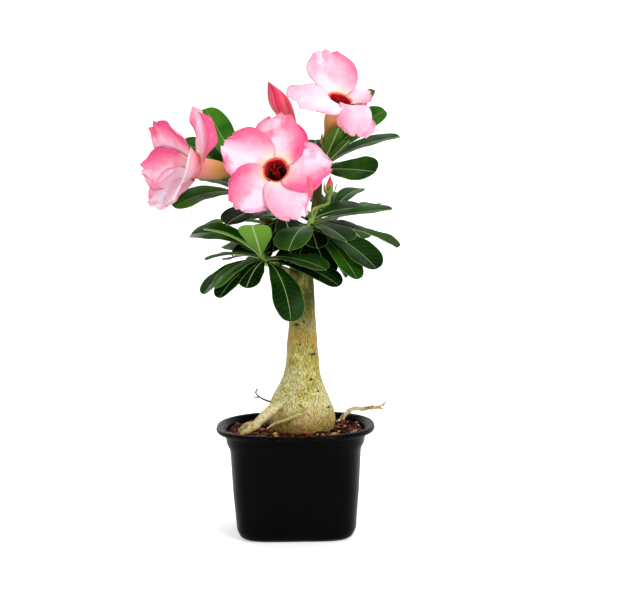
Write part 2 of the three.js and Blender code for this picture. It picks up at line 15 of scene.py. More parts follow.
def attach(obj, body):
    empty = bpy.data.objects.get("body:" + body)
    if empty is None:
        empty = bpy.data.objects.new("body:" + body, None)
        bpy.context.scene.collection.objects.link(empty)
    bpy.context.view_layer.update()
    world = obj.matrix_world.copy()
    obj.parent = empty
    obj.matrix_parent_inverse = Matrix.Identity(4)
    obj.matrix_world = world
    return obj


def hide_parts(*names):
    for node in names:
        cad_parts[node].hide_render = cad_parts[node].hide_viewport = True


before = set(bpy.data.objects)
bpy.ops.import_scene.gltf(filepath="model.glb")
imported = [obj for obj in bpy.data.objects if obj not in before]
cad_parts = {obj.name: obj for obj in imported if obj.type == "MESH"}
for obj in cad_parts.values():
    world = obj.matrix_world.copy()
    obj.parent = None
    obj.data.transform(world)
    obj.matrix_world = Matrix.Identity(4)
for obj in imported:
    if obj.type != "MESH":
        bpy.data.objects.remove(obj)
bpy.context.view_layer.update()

MM = 0.001          # lengths below are in millimetres, and Blender works in metres
SEED = 11

# %% [markdown]
# ## Helpers for materials
# A material is a small graph of nodes. One function turns the sRGB hex value that a painter
# would pick into the linear colour that a shader needs. A second adds a node, sets it up and
# wires it, so that a material reads as a list of steps. Two more open a material and wire its
# last nodes to the shader.

# %% Colours and nodes
def linear(code, alpha=1.0):
    """The linear colour of an sRGB hex value such as 'f6a5c0'."""
    shares = [int(code[i:i + 2], 16) / 255 for i in (0, 2, 4)]
    return [s / 12.92 if s <= 0.04045 else ((s + 0.055) / 1.055) ** 2.4 for s in shares] + [alpha]


def add(tree, kind, inputs=None, stops=None, **settings):
    """Adds a node. inputs maps a socket to a number, a colour, a node or an output socket."""
    node = tree.nodes.new(kind)
    for name, value in settings.items():
        setattr(node, name, value)
    if stops:
        elements = node.color_ramp.elements
        while len(elements) < len(stops):
            elements.new(1.0)
        for element, (place, code) in zip(elements, stops):
            element.position = place
            element.color = linear(code)
    for name, value in (inputs or {}).items():
        named = [s for s in node.inputs if s.enabled and s.name == name]
        socket = named[0] if named else node.inputs[name]
        if isinstance(value, bpy.types.Node):
            value = next(s for s in value.outputs if s.enabled)
        if isinstance(value, bpy.types.NodeSocket):
            tree.links.new(value, socket)
        else:
            socket.default_value = value
    return node


def new_material(name, **shader_inputs):
    """A material with a Principled shader, and that shader, for the graph to feed."""
    material = bpy.data.materials.new(name)
    material.use_nodes = True
    shader = material.node_tree.nodes["Principled BSDF"]
    for socket, value in shader_inputs.items():
        shader.inputs[socket.replace("_", " ")].default_value = value
    material.diffuse_color = (0.5, 0.5, 0.5, 1)
    return material, material.node_tree, shader


def feed(tree, shader, **sources):
    """Wires nodes to the sockets of a shader."""
    for socket, source in sources.items():
        output = next(s for s in source.outputs if s.enabled)
        tree.links.new(output, shader.inputs[socket.replace("_", " ")])


print("pale straw in linear light:", [round(c, 3) for c in linear("e3d68c")])

# %% [markdown]
# Most finishes need the same few nodes: a mix of two colours, a value stretched from one range
# to another, a sum or product, soft noise, a ramp of colours, dents, and the place and the
# stored values of the point that is shaded. A short function for each keeps the lists of
# steps easy to read.

# %% The nodes used most
def blend(tree, share, first, second, **settings):
    """Mixes two colours, each a node or a hex value, by a share."""
    first, second = [linear(c) if isinstance(c, str) else c for c in (first, second)]
    return add(tree, "ShaderNodeMix", {"Factor": share, "A": first, "B": second}, data_type="RGBA",
               **settings)


def remap(tree, value, given, wanted=(0, 1), **settings):
    """Stretches a value from the given range to the wanted one, and clips it there."""
    return add(tree, "ShaderNodeMapRange", {"Value": value, "From Min": given[0], "From Max": given[1],
                                            "To Min": wanted[0], "To Max": wanted[1]}, **settings)


def calc(tree, operation, *numbers, **settings):
    """An operation on up to three numbers or nodes."""
    return add(tree, "ShaderNodeMath", dict(enumerate(numbers)), operation=operation, **settings)


def cloudy(tree, vector, scale, detail, roughness=0.5):
    """Soft noise. Its scale is in waves per metre."""
    return add(tree, "ShaderNodeTexNoise",
               {"Vector": vector, "Scale": scale, "Detail": detail, "Roughness": roughness})


def ramp(tree, share, stops):
    """Colours along a share, from pairs of a place and a hex value."""
    return add(tree, "ShaderNodeValToRGB", {"Fac": share}, stops=stops)


def dents(tree, height, strength, distance, under=None, **settings):
    """A bump by a height, over another bump if there is one."""
    inputs = {"Height": height, "Strength": strength, "Distance": distance}
    return add(tree, "ShaderNodeBump", inputs | ({"Normal": under} if under else {}), **settings)


def place_in(tree):
    """The place of the shaded point in its object's own frame, in metres."""
    return add(tree, "ShaderNodeTexCoord").outputs["Object"]


def stored(tree, name):
    """The value of that name, which the mesh keeps on its points."""
    return add(tree, "ShaderNodeAttribute", attribute_name=name).outputs["Fac"]


print("functions for the usual nodes are ready")

# %% [markdown]
# ## Helpers for meshes
# Stems, leaves and petals all follow smooth curves through a few points. A spline draws such a
# curve, and equal steps along it keep the mesh even. Three small rules do the arithmetic.

# %% Curves and arithmetic
def even_steps(points, count):
    """Resamples a line of points into count points at equal distances along it."""
    points = np.asarray(points, float)
    lengths = np.linalg.norm(np.diff(points[:, :3], axis=0), axis=1)
    walked = np.concatenate([[0], np.cumsum(lengths)])
    marks = np.linspace(0, walked[-1], count)
    return np.stack([np.interp(marks, walked, column) for column in points.T], axis=1)


def spline(points, count):
    """Equal steps along a smooth curve (centripetal Catmull-Rom) through a few points."""
    p = np.array(points, float)
    p = np.vstack([2 * p[0] - p[1], p, 2 * p[-1] - p[-2]])
    gap = np.linalg.norm(np.diff(p, axis=0), axis=1) ** 0.5
    t = np.linspace(0, 1, 40, endpoint=False)[:, None]
    dense = []
    for i in range(1, len(p) - 2):
        a, b, c = gap[i - 1:i + 2]
        out = ((p[i] - p[i - 1]) / a - (p[i + 1] - p[i - 1]) / (a + b) + (p[i + 1] - p[i]) / b) * b
        into = ((p[i + 1] - p[i]) / b - (p[i + 2] - p[i]) / (b + c) + (p[i + 2] - p[i + 1]) / c) * b
        dense.append(p[i] * (2 * t ** 3 - 3 * t ** 2 + 1) + out * (t ** 3 - 2 * t ** 2 + t)
                     + p[i + 1] * (3 * t ** 2 - 2 * t ** 3) + into * (t ** 3 - t ** 2))
    return even_steps(np.vstack(dense + [p[-2:-1]]), count)


def unit(v):
    """The rows of v at length 1."""
    return v / np.maximum(np.linalg.norm(v, axis=-1, keepdims=True), 1e-9)


def smooth(x, low, high):
    """0 below low, 1 above high, with a soft passage between them."""
    t = np.clip((x - low) / (high - low), 0, 1)
    return t * t * (3 - 2 * t)


def mix(a, b, t):
    """The value that lies a share t of the way from a to b."""
    return a + (b - a) * t


print("a quarter of the way into a soft passage:", smooth(0.25, 0, 1))

# %% [markdown]
# Leaves and petals are thin curved sheets. A sheet is a grid of points that gets a thickness
# and a closed edge, so that each leaf is a sound solid. Pot, stem, funnels and buds are lofts
# instead: rings of points joined into a wall, with a point at each end to close it.

# %% Sheets, lofts and tubes
def sheet_faces(rows, columns):
    """Faces of a closed sheet: the top grid, the bottom grid after it, and the rim between."""
    index = np.arange(rows * columns).reshape(rows, columns)
    a, b, c, d = index[:-1, :-1], index[:-1, 1:], index[1:, 1:], index[1:, :-1]
    top = np.stack([a, b, c, d], -1).reshape(-1, 4)
    bottom = top[:, ::-1] + rows * columns
    rim = np.concatenate([index[0, :-1], index[:-1, -1], index[-1, :0:-1], index[:0:-1, 0]])
    after = np.roll(rim, -1)
    under = rows * columns
    sides = np.stack([after, rim, rim + under, after + under], -1)
    return np.vstack([top, bottom, sides])


def thicken(grid, thickness):
    """Top and bottom points of a sheet, given its middle points and its thickness there."""
    normal = unit(np.cross(np.gradient(grid, axis=1), np.gradient(grid, axis=0)))
    offset = normal * (thickness / 2)[..., None]
    return grid + offset, grid - offset


def ring_faces(rings, sides):
    """Faces of rings of points joined into a tube, with a point at each end to close it."""
    index = np.arange(rings * sides).reshape(rings, sides)
    after = np.roll(index, -1, axis=1)
    wall = np.stack([index[:-1], after[:-1], after[1:], index[1:]], -1).reshape(-1, 4).tolist()
    first, last = rings * sides, rings * sides + 1
    wall += [[first, b, a] for a, b in zip(index[0], after[0])]
    wall += [[last, a, b] for a, b in zip(index[-1], after[-1])]
    return wall


def loft(rings):
    """Points and faces of a closed body through rings of equally many points."""
    rings = np.asarray(rings, float)
    points = np.vstack([rings.reshape(-1, 3), rings[0].mean(0), rings[-1].mean(0)])
    return points, ring_faces(rings.shape[0], rings.shape[1])


def tube(path, radii, sides):
    """A round body along a path, with radii spread evenly over it."""
    path = np.asarray(path, float)
    radii = np.interp(np.linspace(0, 1, len(path)), np.linspace(0, 1, len(radii)), radii)
    ahead = unit(np.gradient(path, axis=0))
    side = np.cross(ahead[0], [0, 0, 1] if abs(ahead[0][2]) < 0.9 else [1, 0, 0])
    turns = np.arange(sides) * 2 * np.pi / sides
    rings = []
    for centre, tangent, radius in zip(path, ahead, radii):
        side = unit(side - tangent * side.dot(tangent))
        up = np.cross(tangent, side)
        rings.append(centre + radius * (np.outer(np.cos(turns), side) + np.outer(np.sin(turns), up)))
    return loft(rings)


print("a sheet of 3 by 3 points has", len(sheet_faces(3, 3)), "faces")

# %% [markdown]
# The last helpers join such bodies and make a Blender object of them. It stores what its
# material needs to know, such as the distance from the midrib, as named values on its points.
# A finished piece is then tied to the body, and the node of the frame that it stands for is hidden.

# %% Objects
def gather(parts):
    """Joins (points, faces) pairs into one pair."""
    points, faces, start = [], [], 0
    for p, f in parts:
        points.append(p)
        faces += [[i + start for i in face] for face in (f.tolist() if hasattr(f, "tolist") else f)]
        start += len(p)
    return np.vstack(points), faces


def make_object(name, points, faces, material, **values):
    """A smooth-shaded object from points in millimetres, with named values on its points."""
    mesh = bpy.data.meshes.new(name)
    mesh.from_pydata((np.asarray(points) * MM).tolist(), [], [list(map(int, f)) for f in faces])
    for key, numbers in values.items():
        mesh.attributes.new(key, "FLOAT", "POINT").data.foreach_set("value", np.asarray(numbers, float))
    mesh.materials.append(material)
    mesh.polygons.foreach_set("use_smooth", [True] * len(mesh.polygons))
    mesh.update()
    obj = bpy.data.objects.new(name, mesh)
    bpy.context.scene.collection.objects.link(obj)
    return obj


def baked(obj, name):
    """Replaces an object by a plain mesh of what its modifiers make of it."""
    graph = bpy.context.evaluated_depsgraph_get()
    mesh = bpy.data.meshes.new_from_object(obj.evaluated_get(graph))
    bpy.data.objects.remove(obj)
    mesh.name = name
    result = bpy.data.objects.new(name, mesh)
    bpy.context.scene.collection.objects.link(result)
    return result


def finish_piece(obj, node):
    """Ties a piece to the frame: it moves with the body, and the node that it stands for is hidden."""
    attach(obj, "root")
    if node:
        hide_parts(node)
    triangles = sum(len(p.vertices) - 2 for p in obj.data.polygons)
    print(f"{obj.name}: {triangles} triangles")


print("helpers are ready")

# %% [markdown]
# ## Camera, light and floor
# The camera stands at the height of the crown and looks a little down, with a long lens, so
# that upright lines stay upright. Four broad lights and a bright sky low down give the even
# light of a studio. The floor is nearly white and glows a little, because the light that
# falls on it alone would leave it grey, and it curves up behind the plant, so that no edge
# shows. Only a faint shadow is left.

# %% The camera
scene = bpy.context.scene
CAMERA_PLACE = (20.5, -1100, 272)      # millimetres
CAMERA_PITCH = 4.54                    # degrees down
CAMERA_ROLL = 0.7                      # degrees
LENS = 79.1                            # millimetres, on a 36 mm sensor

camera = bpy.data.objects.new("camera", bpy.data.cameras.new("camera"))
camera.data.lens = LENS
camera.data.sensor_width = 36
camera.location = Vector(CAMERA_PLACE) * MM
turned = Matrix.Rotation(math.radians(90 - CAMERA_PITCH), 4, "X")
camera.rotation_euler = (turned @ Matrix.Rotation(math.radians(-CAMERA_ROLL), 4, "Z")).to_euler()
scene.collection.objects.link(camera)
scene.camera = camera
scene.view_settings.view_transform = "Standard"
print("camera at", [round(c, 3) for c in camera.location], "lens", LENS)

# %% The lights and the floor
FLOOR_COLOUR = "fbfbfb"


def area_light(name, place, size, power):
    """A square soft light that faces the middle of the plant."""
    light = bpy.data.objects.new(name, bpy.data.lights.new(name, "AREA"))
    light.data.size = size
    light.data.energy = power
    light.location = place
    light.rotation_euler = (Vector((0, 0, 0.2)) - Vector(place)).to_track_quat("-Z", "Y").to_euler()
    scene.collection.objects.link(light)


area_light("key", (0.9, -1.3, 1.2), 0.7, 19)
area_light("fill", (-1.3, -1.1, 0.7), 1.2, 3)
area_light("top", (0.1, 0.2, 1.7), 1.0, 9)
area_light("rim", (-0.7, 1.2, 0.8), 0.8, 5)

world = bpy.data.worlds.new("studio")
world.use_nodes = True
around = add(world.node_tree, "ShaderNodeSeparateXYZ",
             {"Vector": add(world.node_tree, "ShaderNodeTexCoord").outputs["Generated"]})
steep = calc(world.node_tree, "ABSOLUTE", around.outputs["Z"])
glow = remap(world.node_tree, steep, (0.12, 0.5), (1, 0.3))
background = world.node_tree.nodes["Background"]
background.inputs["Color"].default_value = linear("ffffff")
world.node_tree.links.new(glow.outputs[0], background.inputs["Strength"])
scene.world = world

floor_material, floor_tree, floor_shader = new_material(
    "painted_studio_floor", Base_Color=linear(FLOOR_COLOUR), Roughness=0.9, Specular_IOR_Level=0.1,
    Emission_Color=linear("ffffff"), Emission_Strength=0.4)
floor_grain = add(floor_tree, "ShaderNodeTexNoise", {"Scale": 90.0, "Detail": 3.0})
floor_bump = add(floor_tree, "ShaderNodeBump", {"Height": floor_grain, "Strength": 0.02})
feed(floor_tree, floor_shader, Normal=floor_bump)
FLOOR_FRONT, FLOOR_HALF = -2600, 3200      # millimetres
SWEEP = [(1100, 0), (1400, 40), (1680, 230), (1790, 520), (1820, 900), (1820, 2400)]
profile = np.vstack([[(0, FLOOR_FRONT, 0)], spline([(0, y, z) for y, z in SWEEP], 60)])
profile[:, 2] = np.maximum(profile[:, 2], 0)
floor_grid = np.stack([profile + [x, 0, 0] for x in (-FLOOR_HALF, FLOOR_HALF)], axis=1)
quads = np.array([[2 * i, 2 * i + 1, 2 * i + 3, 2 * i + 2] for i in range(len(profile) - 1)])
floor = make_object("studio_floor", floor_grid.reshape(-1, 3), quads, floor_material)
print("four area lights and a floor with a curved back")

# %% [markdown]
# ## The nursery pot
# A 5 inch pot blow-moulded from black polyethylene. Its foot is almost square, its collar and
# rolled lip almost round, so each level is a squared circle: the rule |x|^n + |y|^n = half^n
# runs from a square at large n to a circle at 2. Rings of that rule, rounded a little at each
# step of the profile, make the whole wall, outside and inside.

# %% The wall of the pot
POT_SIDES = 144
POT_STEP_ROUNDING = 0.6      # millimetres of softening at each step of the profile
POT_OUTSIDE = [               # half width, exponent, height
    (38, 5.5, 0.0), (41.5, 5, 0), (44.6, 5, 2.2), (46.6, 4.7, 6.5), (49.3, 4, 35.5), (51.2, 3.4, 66.5),
    (52, 3.2, 69), (54.2, 2.8, 72.5), (55.3, 2.7, 79.2), (57.4, 2.6, 79.9), (61.5, 2.4, 80.6),
    (62.5, 2.38, 82.4), (61.9, 2.38, 84.3), (59.6, 2.4, 85)]
POT_INSIDE = [
    (57.4, 2.45, 84.2), (54.6, 2.65, 81), (53.2, 2.75, 73.2), (50.6, 3.2, 69.4),
    (49.9, 3.4, 66.8), (46.2, 4.6, 6), (44.4, 5, 2.4), (40, 5.5, 2.4)]


def rounded_profile(profile, reach):
    """Cuts each corner of a profile by a short curve."""
    profile = np.array(profile, float)
    line = [profile[0]]
    for before, corner, after in zip(profile, profile[1:], profile[2:]):
        ends = []
        for other in (before, after):
            step = other - corner
            length = np.hypot(step[0], step[2])
            ends.append(corner + step * min(reach / length, 0.42))
        for t in (0, 0.33, 0.67, 1):
            line.append((1 - t) ** 2 * ends[0] + 2 * t * (1 - t) * corner + t * t * ends[1])
    return np.array(line + [profile[-1]])


def squared_ring(half, n, z, sides):
    """A ring of the squared circle at height z."""
    angle = np.arange(sides) * 2 * np.pi / sides
    c, s = np.cos(angle), np.sin(angle)
    x = half * np.sign(c) * np.abs(c) ** (2 / n)
    y = half * np.sign(s) * np.abs(s) ** (2 / n)
    return np.stack([x, y, np.full(sides, z)], 1)


pot_profile = rounded_profile(POT_OUTSIDE + POT_INSIDE, POT_STEP_ROUNDING)
pot_points, pot_faces = loft([squared_ring(*level, POT_SIDES) for level in pot_profile])
print("pot profile:", len(pot_profile), "levels,", 2 * max(level[0] for level in pot_profile), "mm wide")

# %% [markdown]
# Black polyethylene is coloured through with soot, and moulding gives it a soft satin skin.
# Its specular level is very low, because the white studio would otherwise lay a grey haze
# over the black. Handling leaves fine scuffs that run round the wall, and soil dust settles
# on the lip.

# %% The black polyethylene
pot_material, tree, shader = new_material(
    "blow_moulded_black_polyethylene", IOR=1.51, Specular_IOR_Level=0.03)
place = place_in(tree)
squeezed = add(tree, "ShaderNodeMapping", {"Vector": place, "Scale": (1, 1, 14)})
scuffs = cloudy(tree, squeezed, 90, 6, 0.7)
scuff_lines = remap(tree, scuffs, (0.58, 0.75))
cloud = cloudy(tree, place, 35, 4)
height = add(tree, "ShaderNodeSeparateXYZ", {"Vector": place})
lip = remap(tree, height.outputs["Z"], (0.0805, 0.0845))
speckle = cloudy(tree, place, 420, 3, 0.7)
dust_spots = remap(tree, speckle, (0.56, 0.72))
dust = calc(tree, "MULTIPLY", lip, dust_spots)
dust_share = calc(tree, "MULTIPLY", dust, 0.45)
base = ramp(tree, cloud, [(0.3, "010101"), (0.7, "030303")])
scuffed = blend(tree, scuff_lines, base, "060707")
dusted = blend(tree, dust_share, scuffed, "6f5a48")
rough = remap(tree, cloud, (0, 1), (0.3, 0.42))
rougher = calc(tree, "MULTIPLY_ADD", scuff_lines, 0.18, rough)
dusty = calc(tree, "MULTIPLY_ADD", dust, 0.3, rougher)
grain = cloudy(tree, place, 900, 2)
bump = dents(tree, grain, 0.08, 0.0004)
raised = dents(tree, dust, 0.5, 0.0003, bump)
feed(tree, shader, Base_Color=dusted, Roughness=dusty, Normal=raised)
print("pot nodes:", len(tree.nodes))

# %% [markdown]
# The drain holes go through the foot near its corners. A Boolean cuts them, because it keeps
# the wall closed: four short drills are taken away from the pot at once.

# %% Drill the drain holes
DRAIN_PLACE, DRAIN_RADIUS = 31, 4
whole_pot = make_object("whole_pot", pot_points, pot_faces, pot_material)
drills = gather([tube([(x, y, -2), (x, y, 5)], [DRAIN_RADIUS], 32)
                 for x in (-DRAIN_PLACE, DRAIN_PLACE) for y in (-DRAIN_PLACE, DRAIN_PLACE)])
drill = make_object("drill", *drills, pot_material)
cut = whole_pot.modifiers.new("drain_holes", "BOOLEAN")
cut.operation, cut.object, cut.solver = "DIFFERENCE", drill, "EXACT"
pot = baked(whole_pot, "nursery_pot")
bpy.data.objects.remove(drill)
finish_piece(pot, "pot")

# %% [markdown]
# ## The swollen stem, its branches and roots
# The stem of a desert rose swells over the soil like a bottle and runs straight into roots
# and branches, with no seam. Here each limb is first its own tube; a voxel remesh then melts
# them into one skin and smoothing fills the forks. The stem is slightly fluted.

# %% The limbs
STEM = [                      # centre x, height, radius, strength of the five flutes
    (6, 44, 4, 0.02), (6, 54, 10, 0.03), (5.8, 66, 17, 0.04), (5.8, 77, 22, 0.04), (5.8, 82, 24.2, 0.035),
    (5.4, 88, 26, 0.03), (4.9, 96, 25.7, 0.025), (4.3, 104, 23.2, 0.02), (4.5, 110, 20.7, 0.02),
    (5, 116, 17.6, 0.02), (5.7, 123, 14.9, 0.02), (6.3, 131, 13.3, 0.015), (6.2, 146, 12.2, 0.015),
    (6.4, 162, 10.8, 0.015), (6.9, 180, 9.6, 0.01), (7.3, 193, 8.8, 0.01), (7.5, 203, 7.6, 0.01)]
STEM_SIDES = 96
BRANCHES = {
    "low_left": ([(6, 0, 194), (1, -6, 201), (-9, -16, 207), (-18, -25, 213)], [5, 4.4, 3.8, 3.3]),
    "left": ([(7, 0, 198), (2, 1, 212), (-8, 2, 230), (-20, 2, 244), (-31, 3, 258)], [7, 6, 5, 4.2, 3.4]),
    "top_right": ([(8, 0, 198), (12, -1, 216), (16, 1, 240), (19, 3, 260), (20, 5, 275)],
                  [7, 5.8, 4.8, 4, 3.4]),
    "right": ([(11, -1, 212), (13, -5, 222), (13, -10, 229), (13, -13, 234)], [4.5, 4, 3.6, 3.3]),
    "centre": ([(-2, 1, 220), (-4, -3, 230), (-7, -8, 243)], [4.5, 3.8, 3.3]),
    "back_left": ([(-2, 2, 219), (-8, 14, 228), (-16, 30, 238)], [4.5, 3.8, 3.3]),
    "back_right": ([(12, 0, 217), (19, 13, 228), (27, 28, 238)], [4.5, 3.8, 3.3]),
}
ROOTS = [
    ([(-8, -14, 105), (-17, -24, 100.5), (-23, -28, 95.5), (-30, -30, 89), (-36, -31, 85), (-42, -32, 82)],
     [4.6, 3.9, 4.1, 3.3, 3.1, 1.8]),
    ([(-10, -4, 104), (-18, -6, 99), (-26, -8, 92.5), (-31, -12, 87), (-39, -16, 84.5), (-44, -18, 82)],
     [3.6, 3.2, 2.7, 2.8, 3.4, 1.6]),
    ([(12, -23, 99), (6, -26, 97.2), (1, -27, 95.5), (-6, -27, 92.5), (-15, -26, 89.5), (-22, -26, 85)],
     [1, 1.8, 1.6, 1.5, 1.3, 0.9]),
    ([(10, 12, 72), (24, 28, 72.5), (35, 37, 79.5), (45, 42, 88.8), (55, 44, 88.7), (65, 45, 89.8),
      (72, 45, 91.5)], [4, 3.2, 2.4, 2, 1.8, 1.7, 1.2]),
]
VOXEL = 0.75                  # millimetres between the points of the melted skin

levels = spline([(x, 0, z, radius, flute) for x, z, radius, flute in STEM], 70)
turns = np.arange(STEM_SIDES) * 2 * np.pi / STEM_SIDES
stem_rings = []
for k, (x, y, z, radius, flute) in enumerate(levels):
    reach = radius * (1 + flute * np.cos(5 * turns + 0.08 * k))
    ring = [x + reach * np.cos(turns), y + reach * np.sin(turns), np.full(STEM_SIDES, z)]
    stem_rings.append(np.stack(ring, 1))
limbs = [loft(stem_rings)]
limbs += [tube(spline(path, 30), radii, 20) for path, radii in list(BRANCHES.values()) + ROOTS]
print("limbs to melt together:", len(limbs))

# %% [markdown]
# A voxel remesh throws away what lies inside the skin, and it does not fail on thin limbs as
# a Boolean union might. Noise then pushes each point in or out: long soft lumps and folds on
# the stem, knots on the roots. Each scar is a small dent where an old leaf fell off. Both the
# scars and the share of root are kept on the points for the bark to read.

# %% Melt them into one skin and rough it up
STEM_MIDDLE = 5.5             # x of the stem's axis
ROOT_STARTS = (25, 35)        # distance from the axis over which bark turns to root
ROOT_TOP = 120                # height over which nothing is root
SCAR_DEPTH = 0.5
SCARS = [                     # dark scars of old leaves and knocks: x, z, half width, half height
    (2.0, 164.1, 1.9, 1.3), (7.8, 166.4, 0.9, 0.9), (14.5, 140.6, 3.0, 0.9), (12.7, 121.5, 1.0, 1.2),
    (26.4, 99.4, 1.2, 0.8), (4.5, 148.6, 0.9, 0.7), (18.1, 112.5, 0.8, 1.0), (6.0, 181, 2.2, 0.7),
    (4.0, 103, 1.0, 0.6)]
rough_limbs = make_object("rough_limbs", *gather(limbs), pot_material)
melt = rough_limbs.modifiers.new("melt", "REMESH")
melt.mode, melt.voxel_size = "VOXEL", VOXEL * MM
relax = rough_limbs.modifiers.new("relax", "SMOOTH")
relax.factor, relax.iterations = 0.5, 5
skin = baked(rough_limbs, "skin")

count = len(skin.data.vertices)
points, normals = np.zeros(count * 3), np.zeros(count * 3)
skin.data.vertices.foreach_get("co", points)
skin.data.vertices.foreach_get("normal", normals)
points, normals = points.reshape(-1, 3) / MM, normals.reshape(-1, 3)
from_stem = np.hypot(points[:, 0] - STEM_MIDDLE, points[:, 1])
on_root = smooth(from_stem, *ROOT_STARTS) * (points[:, 2] < ROOT_TOP)
push = np.zeros(count)
for i, (p, root) in enumerate(zip(points, on_root)):
    place = Vector(p)
    lumps = noise.noise(Vector((p[0] / 9, p[1] / 9, p[2] / 14)))
    folds = noise.noise(Vector((p[0] / 2.6, p[1] / 2.6, p[2] / 7)))
    knots = noise.noise(place / 3.4)
    push[i] = mix(0.35 * lumps + 0.16 * folds, 0.85 * knots, root)
scar = np.zeros(count)
for x, z, wide, high in SCARS:
    off = ((points[:, 0] - x) / wide) ** 2 + ((points[:, 2] - z) / high) ** 2
    scar = np.maximum(scar, np.exp(-off) * (points[:, 1] < 0) * (1 - on_root))
push -= SCAR_DEPTH * scar
points += normals * push[:, None]
print(f"melted skin: {count} points, pushed by up to {abs(push).max():.2f} mm")

# %% [markdown]
# The bark of a desert rose is a thin straw-coloured skin over wet green tissue. As the stem
# swells the skin splits into a fine net, long from top to bottom, and the green shows between
# the threads. Two patterns make the net: the edges of stretched Voronoi cells, and stretched
# noise that breaks them up, because whole cells would look like scales. The real threads lie
# closer than a millimetre, and are drawn a little coarser so that they show.

# %% The net of the bark
NET_WIDTH = 1.3               # millimetres between the threads of the net
bark_material, tree, shader = new_material("straw_succulent_bark", IOR=1.45, Specular_IOR_Level=0.12)
place = place_in(tree)
height = add(tree, "ShaderNodeSeparateXYZ", {"Vector": place}).outputs["Z"]
root_share = stored(tree, "on_root")
wobble = cloudy(tree, place, 260, 2)
shifted = add(tree, "ShaderNodeVectorMath",
              {0: wobble.outputs["Color"], 1: (0.0011, 0.0011, 0.003), 2: place},
              operation="MULTIPLY_ADD")
tall = add(tree, "ShaderNodeMapping", {"Vector": shifted, "Scale": (1, 1, 0.27)})
net = add(tree, "ShaderNodeTexVoronoi", {"Vector": tall, "Scale": 1000 / NET_WIDTH},
          feature="DISTANCE_TO_EDGE")
seams = remap(tree, net, (0.02, 0.2), (0.8, 0.0))
long = add(tree, "ShaderNodeMapping", {"Vector": shifted, "Scale": (1, 1, 0.26)})
threads = cloudy(tree, long, 1250, 2, 0.6)
gaps = remap(tree, threads, (0.58, 0.4))
torn = remap(tree, threads, (0.62, 0.42), (0.15, 1))
broken = calc(tree, "MULTIPLY", seams, torn)
cracks = calc(tree, "MULTIPLY_ADD", gaps, 0.5, broken, use_clamp=True)
cells = add(tree, "ShaderNodeTexVoronoi", {"Vector": tall, "Scale": 1000 / NET_WIDTH})
cell_tone = add(tree, "ShaderNodeSeparateColor", {"Color": cells.outputs["Color"]}).outputs[0]
patches = cloudy(tree, place, 55, 5, 0.65)
straw = ramp(tree, patches, [(0.3, "b8a850"), (0.44, "dccc78"), (0.56, "f4ecb0"), (0.7, "e0c468")])
lighter = blend(tree, cell_tone, straw, "f6f0d2", blend_type="SOFT_LIGHT")
crack_patch = remap(tree, patches, (0.65, 0.35), (0.6, 1))
split = calc(tree, "MULTIPLY", cracks, crack_patch)
netted = blend(tree, split, lighter, "564c1c")
print("bark nodes so far:", len(tree.nodes))

# %% [markdown]
# The colour also changes with height. The waist of the stem is tanned, the part under the
# crown is green and darkened with painted shade from the crown, and two belts are rusty: one
# at the soil, which stains it with the orange of the fibre, and one round the waist. Map Range
# nodes on the height give each its share, and noise makes their borders uneven.

# %% Colour by height
waist = remap(tree, height, (0.105, 0.135), (0, 0.42))
tanned = blend(tree, waist, netted, "8d8034")
# dark olive under the crown: partly the green of young bark, partly painted shade from the leaves above
upper = remap(tree, height, (0.14, 0.185), (0, 0.9))
green = cloudy(tree, tall, 120, 3)
green_here = remap(tree, green, (0.25, 0.55))
green_and_shade_share = calc(tree, "MULTIPLY", upper, green_here)
greened_and_shaded = blend(tree, green_and_shade_share, tanned, "343d08")
low = remap(tree, height, (0.102, 0.086))
belt_off = calc(tree, "SUBTRACT", height, 0.152)
belt_far = calc(tree, "ABSOLUTE", belt_off)
middle = remap(tree, belt_far, (0.012, 0.0), (0, 0.75))
belts = calc(tree, "MAXIMUM", low, middle)
stain = remap(tree, patches, (0.35, 0.6))
rust = calc(tree, "MULTIPLY", belts, stain)
rusted = blend(tree, rust, greened_and_shaded, "b07a2a")
print("bark nodes so far:", len(tree.nodes))

# %% [markdown]
# Dark pits are rare: one Voronoi cell in five has one, at its middle. The scars come from the
# points of the mesh. Roots have no net, only pale skin that runs from brown to cream in noisy
# patches, and the dry twigs are brown. The bump lowers the splits, the pits and the scars.

# %% Pits, scars, roots and relief
pits = add(tree, "ShaderNodeTexVoronoi", {"Vector": place, "Scale": 150.0})
pit_pick = add(tree, "ShaderNodeSeparateColor", {"Color": pits.outputs["Color"]}).outputs[1]
rare = calc(tree, "GREATER_THAN", pit_pick, 0.8)
pit_size = remap(tree, pits, (0.07, 0.12), (0.85, 0.0))
scattered = calc(tree, "MULTIPLY", rare, pit_size)
scar_read = stored(tree, "scar")
scar_share = remap(tree, scar_read, (0.15, 0.6), (0, 0.9))
pit_share = calc(tree, "MAXIMUM", scattered, scar_share)
pitted = blend(tree, pit_share, rusted, "2e2209")
root_speckle = cloudy(tree, place, 700, 3)
root_patchiness = calc(tree, "MULTIPLY_ADD", root_speckle, 0.5, patches)
root_tone = ramp(tree, root_patchiness, [(0.5, "6a4418"), (0.6, "b08c46"), (0.7, "e4cd88"), (0.86, "fbf2c8")])
root_mix = calc(tree, "MULTIPLY", root_share, 0.92)
rooted = blend(tree, root_mix, pitted, root_tone)
dry_share = stored(tree, "dry")
bark_colour = blend(tree, dry_share, rooted, "3f301f")
relief = calc(tree, "MULTIPLY_ADD", cracks, -1, cell_tone)
fine = dents(tree, relief, 0.9, 0.0005)
pit_bump = dents(tree, pit_share, 0.6, 0.0005, fine, invert=True)
bark_rough = remap(tree, patches, (0, 1), (0.5, 0.75))
feed(tree, shader, Base_Color=bark_colour, Roughness=bark_rough, Normal=pit_bump)
print("bark nodes:", len(tree.nodes))

# %% [markdown]
# A few twigs and root ends are too thin to live through the remesh, so they are plain tubes
# that join the skin in one object. They count as root, and as more or less dry.

